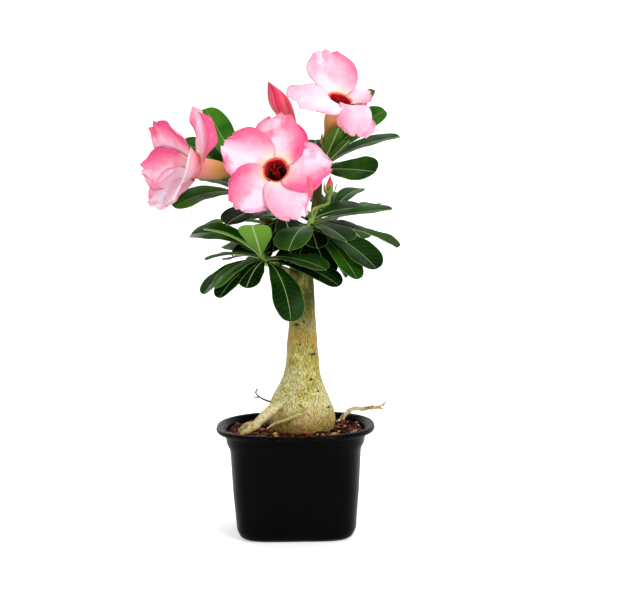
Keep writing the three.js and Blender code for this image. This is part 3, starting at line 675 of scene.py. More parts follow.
# %% The woody part as one object
TWIGS = [                     # thin dry ends, each a path with radii
    ([(-14, -5, 102), (-22, -6, 104), (-29, -4.5, 107.5), (-31.5, -4, 111)], [1, 0.8, 0.7, 0.5]),
    ([(-28, -4.5, 107), (-30.5, -5, 106.5), (-33, -5.5, 107.5)], [0.6, 0.5, 0.3]),
    ([(-31, -4, 110), (-30, -3.5, 112.5), (-28.5, -3, 113)], [0.55, 0.6, 0.4]),
    ([(64, 45, 89), (68, 44.5, 89.5), (71, 44, 88)], [1.4, 1.2, 0.5]),
    ([(36, 37, 80.5), (38, 36, 84), (39, 35, 88)], [1.2, 0.9, 0.3]),
    ([(71, 45, 91), (73, 45.5, 93.5), (73.5, 45.5, 95)], [1.1, 0.7, 0.4]),
]
woody = [(points, [list(p.vertices) for p in skin.data.polygons])]
woody += [tube(spline(path, 14), radii, 10) for path, radii in TWIGS]
points, faces = gather(woody)
is_twig = np.arange(len(points)) >= count
on_root = np.concatenate([on_root, np.ones(is_twig.sum())])
scar = np.concatenate([scar, np.zeros(is_twig.sum())])
trunk = make_object("stem_and_roots", points, faces, bark_material, on_root=on_root, scar=scar,
                    dry=is_twig * (points[:, 0] < 0) * 0.9 + is_twig * (points[:, 0] > 0) * 0.35)
bpy.data.objects.remove(skin)
finish_piece(trunk, "trunk")

# %% [markdown]
# ## The soil
# Desert roses are grown in a loose mix of coconut fibre, bark chips and crumbs, red-brown and
# damp. A lumpy bed fills the pot: its foot follows the wall, and its top is a set of rings
# raised by fractal noise. It carries litter from the second ring inwards, so that no grain
# pokes through the wall, and none where the stem stands.

# %% The bed
SOIL_EDGE = (53.5, 2.69, 78)
SOIL_MOUND = 1.6              # how far the bed rises from the wall to the stem
BED_SIDES = 128
BED_LUMPS = 1.5               # height of the lumps
STEM_PLACE = 5.8              # x of the stem where it enters the soil
STEM_CLEARANCE = 22.5         # how far litter keeps away from it
walls = [(43.9, 5, 2.75), (45.7, 4.6, 6), (49.4, 3.4, 66.8), (50.1, 3.2, 69.4), (52.7, 2.75, 73.2), SOIL_EDGE]
bed_rings = [squared_ring(*level, BED_SIDES) for level in walls]
for share in np.linspace(0.97, 0.04, 30):
    ring = squared_ring(SOIL_EDGE[0] * share, mix(2, SOIL_EDGE[1], share), SOIL_EDGE[2], BED_SIDES)
    lumps = [noise.fractal(Vector(p) / 7, 0.9, 2.0, 4) for p in ring]
    ring[:, 2] += SOIL_MOUND * (2 - share) - 0.6 + BED_LUMPS * np.array(lumps)
    bed_rings.append(ring)
bed_points, bed_faces = loft(bed_rings)
out = np.hypot(bed_points[:, 0] - STEM_PLACE, bed_points[:, 1])
litter = (np.arange(len(bed_points)) >= (len(walls) + 1) * BED_SIDES) * (out > STEM_CLEARANCE)
print("bed points that carry litter:", int(litter.sum()))

# %% [markdown]
# Coconut fibre is rusty red-brown and bark chips run from near black to orange on a fresh
# break. One material serves the bed and its litter: each grain carries a tone from 0 to 1.

# %% The coir and bark mix
soil_material, tree, shader = new_material("damp_coir_and_bark_mix", IOR=1.4, Specular_IOR_Level=0.2)
place = place_in(tree)
tone = stored(tree, "tone")
mottle = cloudy(tree, place, 500, 4, 0.65)
shifted = calc(tree, "MULTIPLY_ADD", mottle, 0.35, tone)
colour = ramp(tree, shifted, [
    (0.15, "080302"), (0.45, "240a05"), (0.72, "521a09"), (0.92, "96411a"), (1.0, "e6b878")])
rough = remap(tree, mottle, (0, 1), (0.55, 0.9))
bump = dents(tree, mottle, 0.7, 0.0006)
feed(tree, shader, Base_Color=colour, Roughness=rough, Normal=bump)
bed = make_object("soil_bed", bed_points, bed_faces, soil_material, litter=litter.astype(float),
                  tone=0.2 + 0.12 * np.sin(bed_points[:, 0]) * np.cos(bed_points[:, 1]))
finish_piece(bed, "soil")

# %% [markdown]
# Litter is strewn by Geometry Nodes: points are spread over the marked part of the bed, and
# each gets a copy of a grain with a random turn, size and tone. The copies are made real at
# the end, because a mesh file cannot hold instances.

# %% The scatter tree
def scatter_tree():
    """A node group that strews copies of a grain over the points marked as litter."""
    group = bpy.data.node_groups.new("strew_grains", "GeometryNodeTree")
    for name, kind in (("Bed", "NodeSocketGeometry"), ("Grain", "NodeSocketObject"),
                       ("Grains per Square Metre", "NodeSocketFloat"), ("Smallest", "NodeSocketFloat"),
                       ("Largest", "NodeSocketFloat"), ("Tilt", "NodeSocketFloat"), ("Seed", "NodeSocketInt"),
                       ("Material", "NodeSocketMaterial")):
        group.interface.new_socket(name, in_out="INPUT", socket_type=kind)
    group.interface.new_socket("Litter", in_out="OUTPUT", socket_type="NodeSocketGeometry")
    given = add(group, "NodeGroupInput").outputs
    marked = add(group, "GeometryNodeInputNamedAttribute", {"Name": "litter"}, data_type="FLOAT")
    density = calc(group, "MULTIPLY", marked, given["Grains per Square Metre"])
    spots = add(group, "GeometryNodeDistributePointsOnFaces",
                {"Mesh": given["Bed"], "Density": density, "Seed": given["Seed"]})
    lean = calc(group, "MULTIPLY", given["Tilt"], -1)
    lowest = add(group, "ShaderNodeCombineXYZ", {"X": lean, "Y": lean, "Z": 0.0})
    highest = add(group, "ShaderNodeCombineXYZ", {"X": given["Tilt"], "Y": given["Tilt"], "Z": 2 * math.pi})
    turn = add(group, "FunctionNodeRandomValue", {"Min": lowest, "Max": highest, "Seed": given["Seed"]},
               data_type="FLOAT_VECTOR")
    turned = add(group, "FunctionNodeEulerToRotation", {"Euler": turn})
    size = add(group, "FunctionNodeRandomValue",
               {"Min": given["Smallest"], "Max": given["Largest"], "Seed": 3}, data_type="FLOAT")
    grain = add(group, "GeometryNodeObjectInfo", {"Object": given["Grain"]}).outputs["Geometry"]
    copies = add(group, "GeometryNodeInstanceOnPoints",
                 {"Points": spots, "Instance": grain, "Rotation": turned, "Scale": size})
    tone = add(group, "FunctionNodeRandomValue", {"Min": 0.0, "Max": 0.85, "Seed": 8}, data_type="FLOAT")
    toned = add(group, "GeometryNodeStoreNamedAttribute", {"Geometry": copies, "Name": "tone", "Value": tone},
                domain="INSTANCE", data_type="FLOAT")
    real = add(group, "GeometryNodeRealizeInstances", {"Geometry": toned})
    finished = add(group, "GeometryNodeSetMaterial", {"Geometry": real, "Material": given["Material"]})
    add(group, "NodeGroupOutput", {"Litter": finished})
    return group


def run_tree(obj, group, **inputs):
    """Puts a node group on an object and sets its inputs by their identifiers."""
    modifier = obj.modifiers.new("nodes", "NODES")
    modifier.node_group = group
    for item in group.interface.items_tree:
        if item.in_out == "INPUT" and item.name.replace(" ", "_").lower() in inputs:
            modifier[item.identifier] = inputs[item.name.replace(" ", "_").lower()]
    return obj


strew = scatter_tree()
random = np.random.default_rng(SEED)
print("scatter tree nodes:", len(strew.nodes))

# %% [markdown]
# Four sorts of grain are enough: flat chips, crumbs, splinters and thin curly fibres. Each is
# one small mesh of a few dozen faces, since it is repeated hundreds of times.

# %% Four sorts of grain
def lumpy_block(length, width, height, rounding):
    """A flat chip: a squared block with noisy corners."""
    rings = []
    for share, size in ((-1, 0.55), (-0.75, 0.95), (0, 1), (0.8, 0.9), (1, 0.5)):
        ring = squared_ring(width / 2 * size, rounding, 0, 8)
        rings.append(np.stack([np.full(8, share * length / 2), ring[:, 0], ring[:, 1] * height / width], 1)
                     + random.normal(0, 0.09 * width, (8, 3)) * [1, 1, 0.5])
    return loft(rings)


GRAINS = [                    # name, shape, grains per square metre, size range, tilt, seed
    ("chip", lumpy_block(5.5, 3.2, 1.1, 4), 52000, (0.5, 1.45), 0.7, 1),
    ("crumb", lumpy_block(1.6, 1.3, 1.1, 2.2), 260000, (0.5, 1.5), 1.5, 2),
    ("splinter", lumpy_block(6.0, 1.0, 0.7, 3), 46000, (0.5, 1.3), 0.5, 3),
    ("fibre", tube(spline([(-6, 0, 0), (-3, 1.6, 0.7), (0, 0.4, 1.2), (3, -1.5, 0.9), (6, 0.4, -0.2)], 9),
                   [0.14, 0.17, 0.15, 0.08], 4), 52000, (0.5, 1.2), 0.3, 4),
]
for name, shape, density, (least, most), tilt, seed in GRAINS:
    grain = make_object(name + "_grain", *shape, soil_material)
    carrier = bpy.data.objects.new("carrier", bed.data)
    scene.collection.objects.link(carrier)
    run_tree(carrier, strew, grain=grain, grains_per_square_metre=float(density), smallest=least,
             largest=most, tilt=tilt, seed=seed, material=soil_material)
    strewn = baked(carrier, f"soil_{name}s")
    bpy.data.objects.remove(grain)
    finish_piece(strewn, None)

# %% [markdown]
# ## Leafy shoots
# Leaves sit in a spiral round each green shoot: leathery, widest near the tip, folded a little
# along a pale midrib. A leaf is a closed curved sheet. Its middle line bends down in even
# steps, its half width follows v^a (1 - v)^b, and each point keeps its distance from the
# midrib, from the edge and along the leaf, which is all that the leaf's finish needs.

# %% One leaf
LEAF_TAPER, LEAF_ROUNDING = 1.25, 0.42
WIDEST = LEAF_TAPER / (LEAF_TAPER + LEAF_ROUNDING)
WIDEST_VALUE = WIDEST ** LEAF_TAPER * (1 - WIDEST) ** LEAF_ROUNDING
LEAF_V = np.concatenate([np.linspace(0, 0.86, 20), [0.9, 0.93, 0.955, 0.975, 0.989, 0.997]])
LEAF_U = np.array([0, 0.035, 0.08, 0.18, 0.34, 0.52, 0.7, 0.85, 0.95, 1])
LEAF_U = np.concatenate([-LEAF_U[:0:-1], LEAF_U])
LEAF_FOLD = 0.16              # rise of the edge over the midrib, as a share of the half width
PETIOLE_HALF = 1.5
LEAF_THICKNESS = (0.62, 0.4)  # at the midrib and at the edge
LEAF_RIPPLE = 0.035           # height of the waves at the edge, as a share of the half width
LEAF_VALUES = ("across", "along", "to_edge", "under", "tint")


def leaf(base, heading, rise, droop, length, width, roll, tint=0.0, wave=1.0):
    """Points, faces and values of one leaf. Angles in degrees: heading from +X, rise at the
    stalk, droop over the length, roll about the midrib."""
    turn, steps = math.radians(heading), 60
    slope = np.radians(rise - droop * (np.arange(steps) + 0.5) / steps)
    step = np.stack([np.cos(slope) * math.cos(turn), np.cos(slope) * math.sin(turn), np.sin(slope)], 1)
    spine = np.vstack([[0, 0, 0], np.cumsum(step, 0) * length / steps]) + base
    place = LEAF_V * steps
    centre = np.stack([np.interp(place, np.arange(steps + 1), c) for c in spine.T], 1)
    ahead = unit(np.gradient(centre, LEAF_V, axis=0))
    level = np.array([math.sin(turn), -math.cos(turn), 0])
    angle = math.radians(roll)
    side = (level * math.cos(angle) + np.cross(ahead, level) * math.sin(angle)
            + ahead * (ahead @ level)[:, None] * (1 - math.cos(angle)))
    up = unit(np.cross(side, ahead))
    half = LEAF_V ** LEAF_TAPER * (1 - LEAF_V) ** LEAF_ROUNDING / WIDEST_VALUE * width / 2
    half = np.maximum(half, mix(PETIOLE_HALF, 0.25, smooth(LEAF_V, 0, 0.5)))[:, None]
    u, v = LEAF_U[None, :], LEAF_V[:, None]
    phase = random.uniform(0, 6.28, 3)
    ripple = wave * LEAF_RIPPLE * half * np.abs(u) ** 2 * (
        np.sin(11 * v + phase[0] + np.sign(u)) + 0.6 * np.sin(23 * v + phase[1] * np.sign(u)))
    cup = LEAF_FOLD * half * np.abs(u) * (1.25 - 0.35 * np.abs(u))
    lift = cup + ripple * smooth(v, 0.15, 0.5) - 0.25 * np.exp(-(u / 0.05) ** 2) * smooth(v, 0.1, 0.3)
    outline = 1 + 0.02 * np.sin(17 * v + phase[2] * np.sign(u))
    grid = (centre[:, None] + side[:, None] * (u * half * outline)[..., None] + up[:, None] * lift[..., None])
    stalk = (1 - v) ** 3
    rib = np.exp(-(u * half / 0.9) ** 2) * mix(0.25, 1.1, (1 - v) ** 1.5)
    blade = mix(*LEAF_THICKNESS, np.abs(u) ** 2) + stalk * (1 - np.abs(u) ** 2)
    top, bottom = thicken(grid, blade + 0 * grid[..., 0])
    bottom = bottom - up[:, None] * rib[..., None]
    shape = np.zeros(grid.shape[:2])
    values = {"across": u * half, "along": v * length + shape, "to_edge": (1 - np.abs(u)) * half + shape,
              "under": shape, "tint": shape + tint}
    points = np.vstack([top.reshape(-1, 3), bottom.reshape(-1, 3)])
    rows = {k: np.tile(a.reshape(-1), 2) for k, a in values.items()}
    rows["under"][len(points) // 2:] = 1
    return points, sheet_faces(*grid.shape[:2]), rows


test_leaf = leaf((0, 0, 0), 0, 20, 30, 60, 24, 0)
print("one leaf:", len(test_leaf[0]), "points,", len(test_leaf[1]), "faces")

# %% [markdown]
# Each shoot starts at the end of its branch and bends to its tip. The rows give a leaf's place
# along the shoot from 0 to 1, its heading, rise, droop, length, width, roll, and how light it
# is. Light ones are young, seen from below or lit, and dark ones lie in shade, so this share is
# partly the leaf's own tint and partly painted light and shade. Short dark leaves deep in the
# crown fill its shadow as painted shade. A shoot at the back has one row for all its leaves:
# their number, the headings between which they lie, and their length and width.

# %% Where the leaves grow
GAP = 0.35                    # between a shoot or a stalk and what it grows from
LEAFY_STRETCH = (0.18, 0.78)  # the part of a shoot that bears leaves
SHOOTS = {
    "low_left": ((-25, -32, 222), [
        (.1, -64, -8, 72, 65, 25, 0, .1), (.2, -108, -2, 42, 46, 18, -10, 0),
        (.3, -127, -5, 40, 60, 19, 0, 0),
        (.35, -25, 1, 35, 66, 24, 20, 0), (.4, -132, 3, 45, 56, 16, -5, .35),
        (.5, -143, 4, 55, 62, 20, 0, .1),
        (.6, -36, 8, 30, 60, 22, 15, .15), (.7, 126, 9, 25, 50, 20, -15, 0),
        (.8, 131, 20, 20, 46, 20, -20, .2),
        (.9, -98, 36, 5, 44, 25, 0, .95), (1, 158, 42, 55, 64, 26, -25, .35),
        (1, -162, 44, 38, 50, 8, 0, .8)]),
    "centre": ((-9, -9, 257), [
        (.6, -138, 18, 50, 56, 27, -15, 0), (.3, -160, 8, 30, 46, 22, -10, .1),
        (.8, 110, 50, 30, 36, 20, 0, 0)]),
    "right": ((15, -16, 248), [
        (.1, -80, 0, 40, 36, 20, 0, 0), (.2, 40, -20, 20, 42, 20, 0, .1), (.3, -46, -20, 32, 64, 22, 5, .45),
        (.4, -108, 8, 50, 54, 29, 0, .3), (.5, -25, -14, 32, 65, 34, 15, .1), (.7, -60, 2, 28, 56, 26, 0, .1),
        (.8, 0, 16, 14, 64, 20, 15, .25), (1, 40, 22, 28, 60, 25, 20, .2), (.9, 30, -3, 15, 50, 22, 20, .1)]),
    "left": ((-37, 0, 276), [
        (.3, -150, 19, 52, 65, 24, -25, .55), (.4, 140, 32, 30, 50, 24, -15, .4),
        (.6, 158, 50, 28, 70, 26, -30, .5),
        (.8, 150, 66, 12, 74, 25, -30, .75), (.7, 95, 30, 35, 56, 24, 0, .2)]),
    "top_right": ((23, 3, 292), [
        (.5, -40, 4, 12, 56, 27, 40, .3), (.6, 12, 37, 32, 71, 24, 15, .3), (.3, 70, 25, 40, 60, 25, 0, .1),
        (.4, 130, 30, 40, 58, 24, 0, .1), (.8, 10, 52, 25, 69, 26, 35, .75), (.4, 20, 62, 16, 80, 18, 20, .6),
        (.7, -62, 38, -12, 44, 13, 0, .5), (.6, -48, 32, 0, 40, 11, 0, .35),
        (.6, 95, 46, 22, 42, 20, 0, .2)]),
    "back_left": ((-18, 34, 250), (7, 60, 190, 58, 25)),
    "back_right": ((31, 33, 250), (7, 20, 130, 58, 25)),
}
# the near-black green of these inner leaves is painted shade deep in the crown
INNER_LEAVES = {              # short dark leaves deep in the crown
    "centre": [
        (.2, 20, -28, 25, 46, 25, 0, 0), (.35, 60, 10, 35, 44, 22, 10, 0), (.5, -75, -14, 40, 38, 22, 0, 0),
        (.3, 178, -22, 30, 50, 25, 0, 0), (.1, -30, -44, 20, 44, 24, 0, 0),
        (.15, -140, -48, 20, 40, 22, 0, 0)],
    "right": [
        (.1, 170, -14, 35, 44, 25, 0, 0), (.3, 140, 20, 35, 46, 24, 0, 0), (.2, -130, -26, 30, 40, 23, 0, 0),
        (.5, 100, 10, 30, 46, 22, 0, .1), (.05, -10, -42, 20, 46, 26, 0, 0),
        (.1, -60, -40, 25, 42, 24, 0, 0)],
    "low_left": [
        (.9, 70, 44, 40, 46, 23, 0, .1), (.8, 35, 28, 35, 44, 22, 0, 0), (.5, 100, 10, 40, 40, 20, 0, 0),
        (.7, 170, 18, 40, 46, 20, 0, .1), (.3, 160, -12, 30, 44, 20, 0, 0), (.5, 10, 14, 40, 44, 22, 0, 0)],
}
print("leaves listed by hand:", sum(len(rows) for _, rows in SHOOTS.values() if isinstance(rows, list)))

# %% [markdown]
# The leaves at the back follow the plant's own rule: each is 137.5 degrees round from the
# last. They grow smaller and steeper towards the tip, and small chances, the same on every
# run, keep them from being all alike.

# %% The way of a shoot, and the spiral
GOLDEN_ANGLE = 137.5


def shoot_curve(name):
    """The middle line of a green shoot, on from the end of its branch."""
    path, tip = np.array(BRANCHES[name][0], float), np.array(SHOOTS[name][0], float)
    ahead = unit(path[-1] - path[-2])
    foot = path[-1] + ahead * GAP
    return spline([foot, foot + ahead * np.linalg.norm(tip - foot) / 3, tip], 101)


def chances(seed):
    """A repeatable source of numbers from -1 to 1."""
    state = seed * 2654435761 % 2 ** 32
    while True:
        state = (state * 1664525 + 1013904223) % 2 ** 32
        yield state / 2 ** 31 - 1


chance = chances(8)


def fan(count, start, end, length, width):
    """Leaves round a shoot at the back, by the golden angle within a range of headings."""
    rows = []
    for i in range(count):
        turn = i * GOLDEN_ANGLE % 360 / 360
        up = (i + 0.5) / count
        size = mix(1.05, 0.75, up) + 0.08 * next(chance)
        rise = mix(-5, 60, up) + 6 * next(chance)
        droop = 38 + 8 * next(chance)
        roll = 10 * next(chance)
        rows.append((up, mix(start, end, turn), rise, droop, length * size, width * size, roll,
                     0.1 + 0.3 * up))
    return rows


print("leaves on a shoot at the back:", SHOOTS["back_left"][1][0])

# %% [markdown]
# The upper skin of the leaf is dark green under a thin wax and turns almost black in shade.
# Its darkest green is itself near black, painted shade, and its lightest green is partly painted light.
# The wax is given hardly any gloss here, because the white studio would lay a grey haze over
# it. The midrib and a hair-thin rim are pale, side veins leave the midrib at some 60 degrees
# every few millimetres, and the underside is a duller green. All lines are drawn from the
# distances that each point carries, so they follow the leaf however it bends.

# %% The waxy leaf
VEIN_STEP = 4.5               # millimetres between side veins
leaf_material, tree, shader = new_material("waxy_succulent_leaf", IOR=1.45, Specular_IOR_Level=0.04)
place = place_in(tree)
read = {n: stored(tree, n) for n in LEAF_VALUES}
aside = calc(tree, "ABSOLUTE", read["across"])
cloud = cloudy(tree, place, 55, 3)
# The dark green is partly painted shade and the light green partly painted light; each leaf's stored tint
# picks between them.
dark_and_shaded_green = ramp(tree, cloud, [(0.3, "010902"), (0.5, "041505"), (0.72, "0d2807")])
light = ramp(tree, cloud, [(0.3, "265a0e"), (0.5, "3a7716"), (0.72, "5b9426")])
upper = blend(tree, read["tint"], dark_and_shaded_green, light)
slant = calc(tree, "MULTIPLY_ADD", aside, -0.55, read["along"])
waver = cloudy(tree, place, 120, 1)
bent = calc(tree, "MULTIPLY_ADD", waver, 2.2, slant)
veins = calc(tree, "PINGPONG", bent, VEIN_STEP / 2)
vein_line = remap(tree, veins, (0.0, 0.45), (1, 0.0), interpolation_type="SMOOTHSTEP")
inside = remap(tree, read["to_edge"], (0.8, 3))
vein_share = calc(tree, "MULTIPLY", vein_line, inside)
faint = calc(tree, "MULTIPLY", vein_share, 0.3)
veined = blend(tree, faint, upper, "356320")
print("leaf nodes so far:", len(tree.nodes))

# %% [markdown]
# The midrib is broad at the stalk and fine at the tip, and the rim is a pale line along the
# edge. The underside has its own greens and the same rib.

# %% Midrib, rim and underside
rib_width = remap(tree, read["along"], (0.0, 65), (0.7, 0.22))
rib_edge = calc(tree, "SUBTRACT", rib_width, aside)
rib_line = remap(tree, rib_edge, (-0.12, 0.15))
rib_share = calc(tree, "MULTIPLY", rib_line, 0.8)
ribbed = blend(tree, rib_share, veined, "a9c187")
rim = remap(tree, read["to_edge"], (0.15, 0.55), (0.65, 0.0))
rimmed = blend(tree, rim, ribbed, "6f9a4c")
under_dark = blend(tree, cloud, "0c2007", "1b380e")
under_base = blend(tree, read["tint"], under_dark, "6f9a3a")
under_rib = blend(tree, rib_share, under_base, "b5c98a")
leaf_colour = blend(tree, read["under"], rimmed, under_rib)
leaf_rough = remap(tree, read["under"], (0, 1), (0.34, 0.6))
sink = calc(tree, "MULTIPLY_ADD", vein_share, -0.5, cloud)
leaf_bump = dents(tree, sink, 0.35, 0.0004)
feed(tree, shader, Base_Color=leaf_colour, Roughness=leaf_rough, Normal=leaf_bump)
print("leaf nodes:", len(tree.nodes))

# %% [markdown]
# Stems, stalks and threads all follow a path and taper along it. One Geometry Nodes tree
# serves them all: it sweeps a small circle along curves that carry their own radius, closes
# the ends, stores how far along each point is, and sets the material.

# %% The stem tree
def stem_tree():
    """A node group that gives curves a round skin of their own radius."""
    group = bpy.data.node_groups.new("round_stems", "GeometryNodeTree")
    for name, kind in (("Paths", "NodeSocketGeometry"), ("Sides", "NodeSocketInt"),
                       ("Material", "NodeSocketMaterial")):
        group.interface.new_socket(name, in_out="INPUT", socket_type=kind)
    group.interface.new_socket("Stems", in_out="OUTPUT", socket_type="NodeSocketGeometry")
    given = add(group, "NodeGroupInput").outputs
    share = add(group, "GeometryNodeSplineParameter").outputs["Factor"]
    marked = add(group, "GeometryNodeStoreNamedAttribute",
                 {"Geometry": given["Paths"], "Name": "share", "Value": share},
                 domain="POINT", data_type="FLOAT")
    ring = add(group, "GeometryNodeCurvePrimitiveCircle", {"Resolution": given["Sides"], "Radius": 1.0})
    radius = add(group, "GeometryNodeInputRadius")
    skin = add(group, "GeometryNodeCurveToMesh",
               {"Curve": marked, "Profile Curve": ring, "Scale": radius, "Fill Caps": True})
    real = add(group, "GeometryNodeRealizeInstances", {"Geometry": skin})
    finished = add(group, "GeometryNodeSetMaterial", {"Geometry": real, "Material": given["Material"]})
    add(group, "NodeGroupOutput", {"Stems": finished})
    return group


round_stems = stem_tree()


def stems(name, paths, sides, material):
    """One mesh of round tapering stems from (points, radii) pairs in millimetres."""
    curve = bpy.data.curves.new(name, "CURVE")
    curve.dimensions = "3D"
    for points, radii in paths:
        line = curve.splines.new("POLY")
        line.points.add(len(points) - 1)
        radii = np.interp(np.linspace(0, 1, len(points)), np.linspace(0, 1, len(radii)), radii)
        line.points.foreach_set("co", np.hstack([np.array(points) * MM, np.ones((len(points), 1))]).ravel())
        line.points.foreach_set("radius", radii * MM)
    obj = bpy.data.objects.new(name, curve)
    scene.collection.objects.link(obj)
    run_tree(obj, round_stems, sides=sides, material=material)
    mesh = baked(obj, name)
    mesh.data.polygons.foreach_set("use_smooth", [True] * len(mesh.data.polygons))
    return mesh


print("stem tree nodes:", len(round_stems.nodes))

# %% [markdown]
# The young shoots are soft green stems. Their foot is older and turns straw-coloured, like
# the branch that bears it, so the colour is mixed by the share of the way along.

# %% The green shoot skin
shoot_material, tree, shader = new_material("green_shoot_skin", IOR=1.45, Roughness=0.5)
place = place_in(tree)
mottle = cloudy(tree, place, 260, 4)
share = stored(tree, "share")
young = ramp(tree, mottle, [(0.35, "6f8f2f"), (0.6, "93ad49"), (0.75, "b3b96a")])
old = ramp(tree, mottle, [(0.35, "7a7434"), (0.6, "9b9150"), (0.75, "bdb27a")])
aged = remap(tree, share, (0.0, 0.4), (0.8, 0.0))
colour = blend(tree, aged, young, old)
bump = dents(tree, mottle, 0.4, 0.0003)
feed(tree, shader, Base_Color=colour, Normal=bump)
print("shoot nodes:", len(tree.nodes))

# %% [markdown]
# A shoot is two pieces that stand for one node: its stem, and all its leaves in one mesh,
# which ends in a tuft of young ones round the tip.

# %% Grow the seven shoots
random = np.random.default_rng(SEED + 1)
SHOOT_RADII = [3.2, 3.3, 3.0, 2.6, 1.6]
TUFT = 5                      # young leaves at each tip
SHOOT_SIDES = 20


def grow_shoot(name):
    """The stem, leaves and tip of one shoot, as two pieces."""
    tip, rows = SHOOTS[name]
    curve = shoot_curve(name)
    parts = []
    for at, *shape in (rows if isinstance(rows, list) else fan(*rows)) + INNER_LEAVES.get(name, []):
        base = curve[round(100 * mix(*LEAFY_STRETCH, at))]
        parts.append(leaf(base, *shape))
    ahead = unit(curve[-1] - curve[-6])
    for k in range(TUFT):
        heading = k * GOLDEN_ANGLE
        parts.append(leaf(curve[-1] - ahead * 1.5, heading, 62 - 4 * k, 10, 9 - k, 3.4, 0, 0.8))
    points, faces = gather([part[:2] for part in parts])
    values = {key: np.concatenate([part[2][key] for part in parts]) for key in LEAF_VALUES}
    foliage = make_object("leaves_" + name, points, faces, leaf_material, **values)
    finish_piece(foliage, "shoot_" + name)
    stem = stems("shoot_stem_" + name, [(curve[::4], SHOOT_RADII)], SHOOT_SIDES, shoot_material)
    finish_piece(stem, "shoot_" + name)


for name in SHOOTS:
    grow_shoot(name)

# %% [markdown]
# ## Blooms
# A desert rose bloom is a funnel that splits into five broad lobes. Each lobe lies over one
# neighbour and under the other, like the vanes of a pinwheel, and its rim is ruffled. In the
# bloom's own frame, with +Z out of its mouth, a lobe is a sheet given by polar rules: its
# middle line leans out from the mouth, and its points turn round the axis by how far across
# the lobe they are. The frame then carries it to its place on the plant.

# %% The frame of a bloom
MOUTH_RADIUS = 9              # millimetres
TUBE_WALL = 0.9
PETAL_VALUES = ("reach", "across", "to_edge", "outside", "blush")


def frame_at(foot, end):
    """The matrix whose +Z runs from foot to end, with +X as near to the plant's +X as it can be."""
    axis = unit(np.subtract(end, foot).astype(float))
    right = np.array([0, -1, 0] if abs(axis[0]) > 0.7 else [1, 0, 0], float)
    right = unit(right - axis * right.dot(axis))
    return np.column_stack([right, np.cross(axis, right), axis]), np.array(foot, float)


def carried(points, place):
    """Points of a bloom's own frame, in the frame of the plant."""
    return np.asarray(points) @ place[0].T + place[1]


print("values kept on each petal point:", PETAL_VALUES)

# %% [markdown]
# A lobe could be modelled by hand, but five on each bloom, all different, are easier as one
# rule with a few handles: how far it leans out, how its tip turns, how strong its ruffles
# are, and whether a corner is longer or a side folded up. Its rim is cut by two waves, a
# broad and a fine one, and the points lie closer together there.

# %% One lobe
LOBE_STEPS = 80
LOBE_V = np.concatenate([np.linspace(0, 0.9, 27), [0.93, 0.955, 0.975, 0.99, 1.0]])
LOBE_U = np.concatenate([np.linspace(0, 0.9, 15), [0.94, 0.97, 0.99, 1.0]])
LOBE_U = np.concatenate([LOBE_U[::-1], -LOBE_U[1:]])
LOBE_WIDTH = spline([(0, 0.36, 0), (0.2, 0.7, 0), (0.42, 0.92, 0), (0.66, 1.0, 0), (0.86, 0.88, 0),
                     (1, 0.5, 0)], 60)
LOBE_TILT, LOBE_SINK = 1.7, 1.5    # millimetres: the free side rises, the foot sinks into the tube
TIP_DROP = 0.10                    # how far the corners fall short of the tip, as a share
RIM_CUTS = (0.026, 0.011)          # the broad and the fine wave of the rim, as shares
RUFFLE_HEIGHT = 1.2
LOBE_THICKNESS = (0.6, 0.36)       # in the middle and at the rim


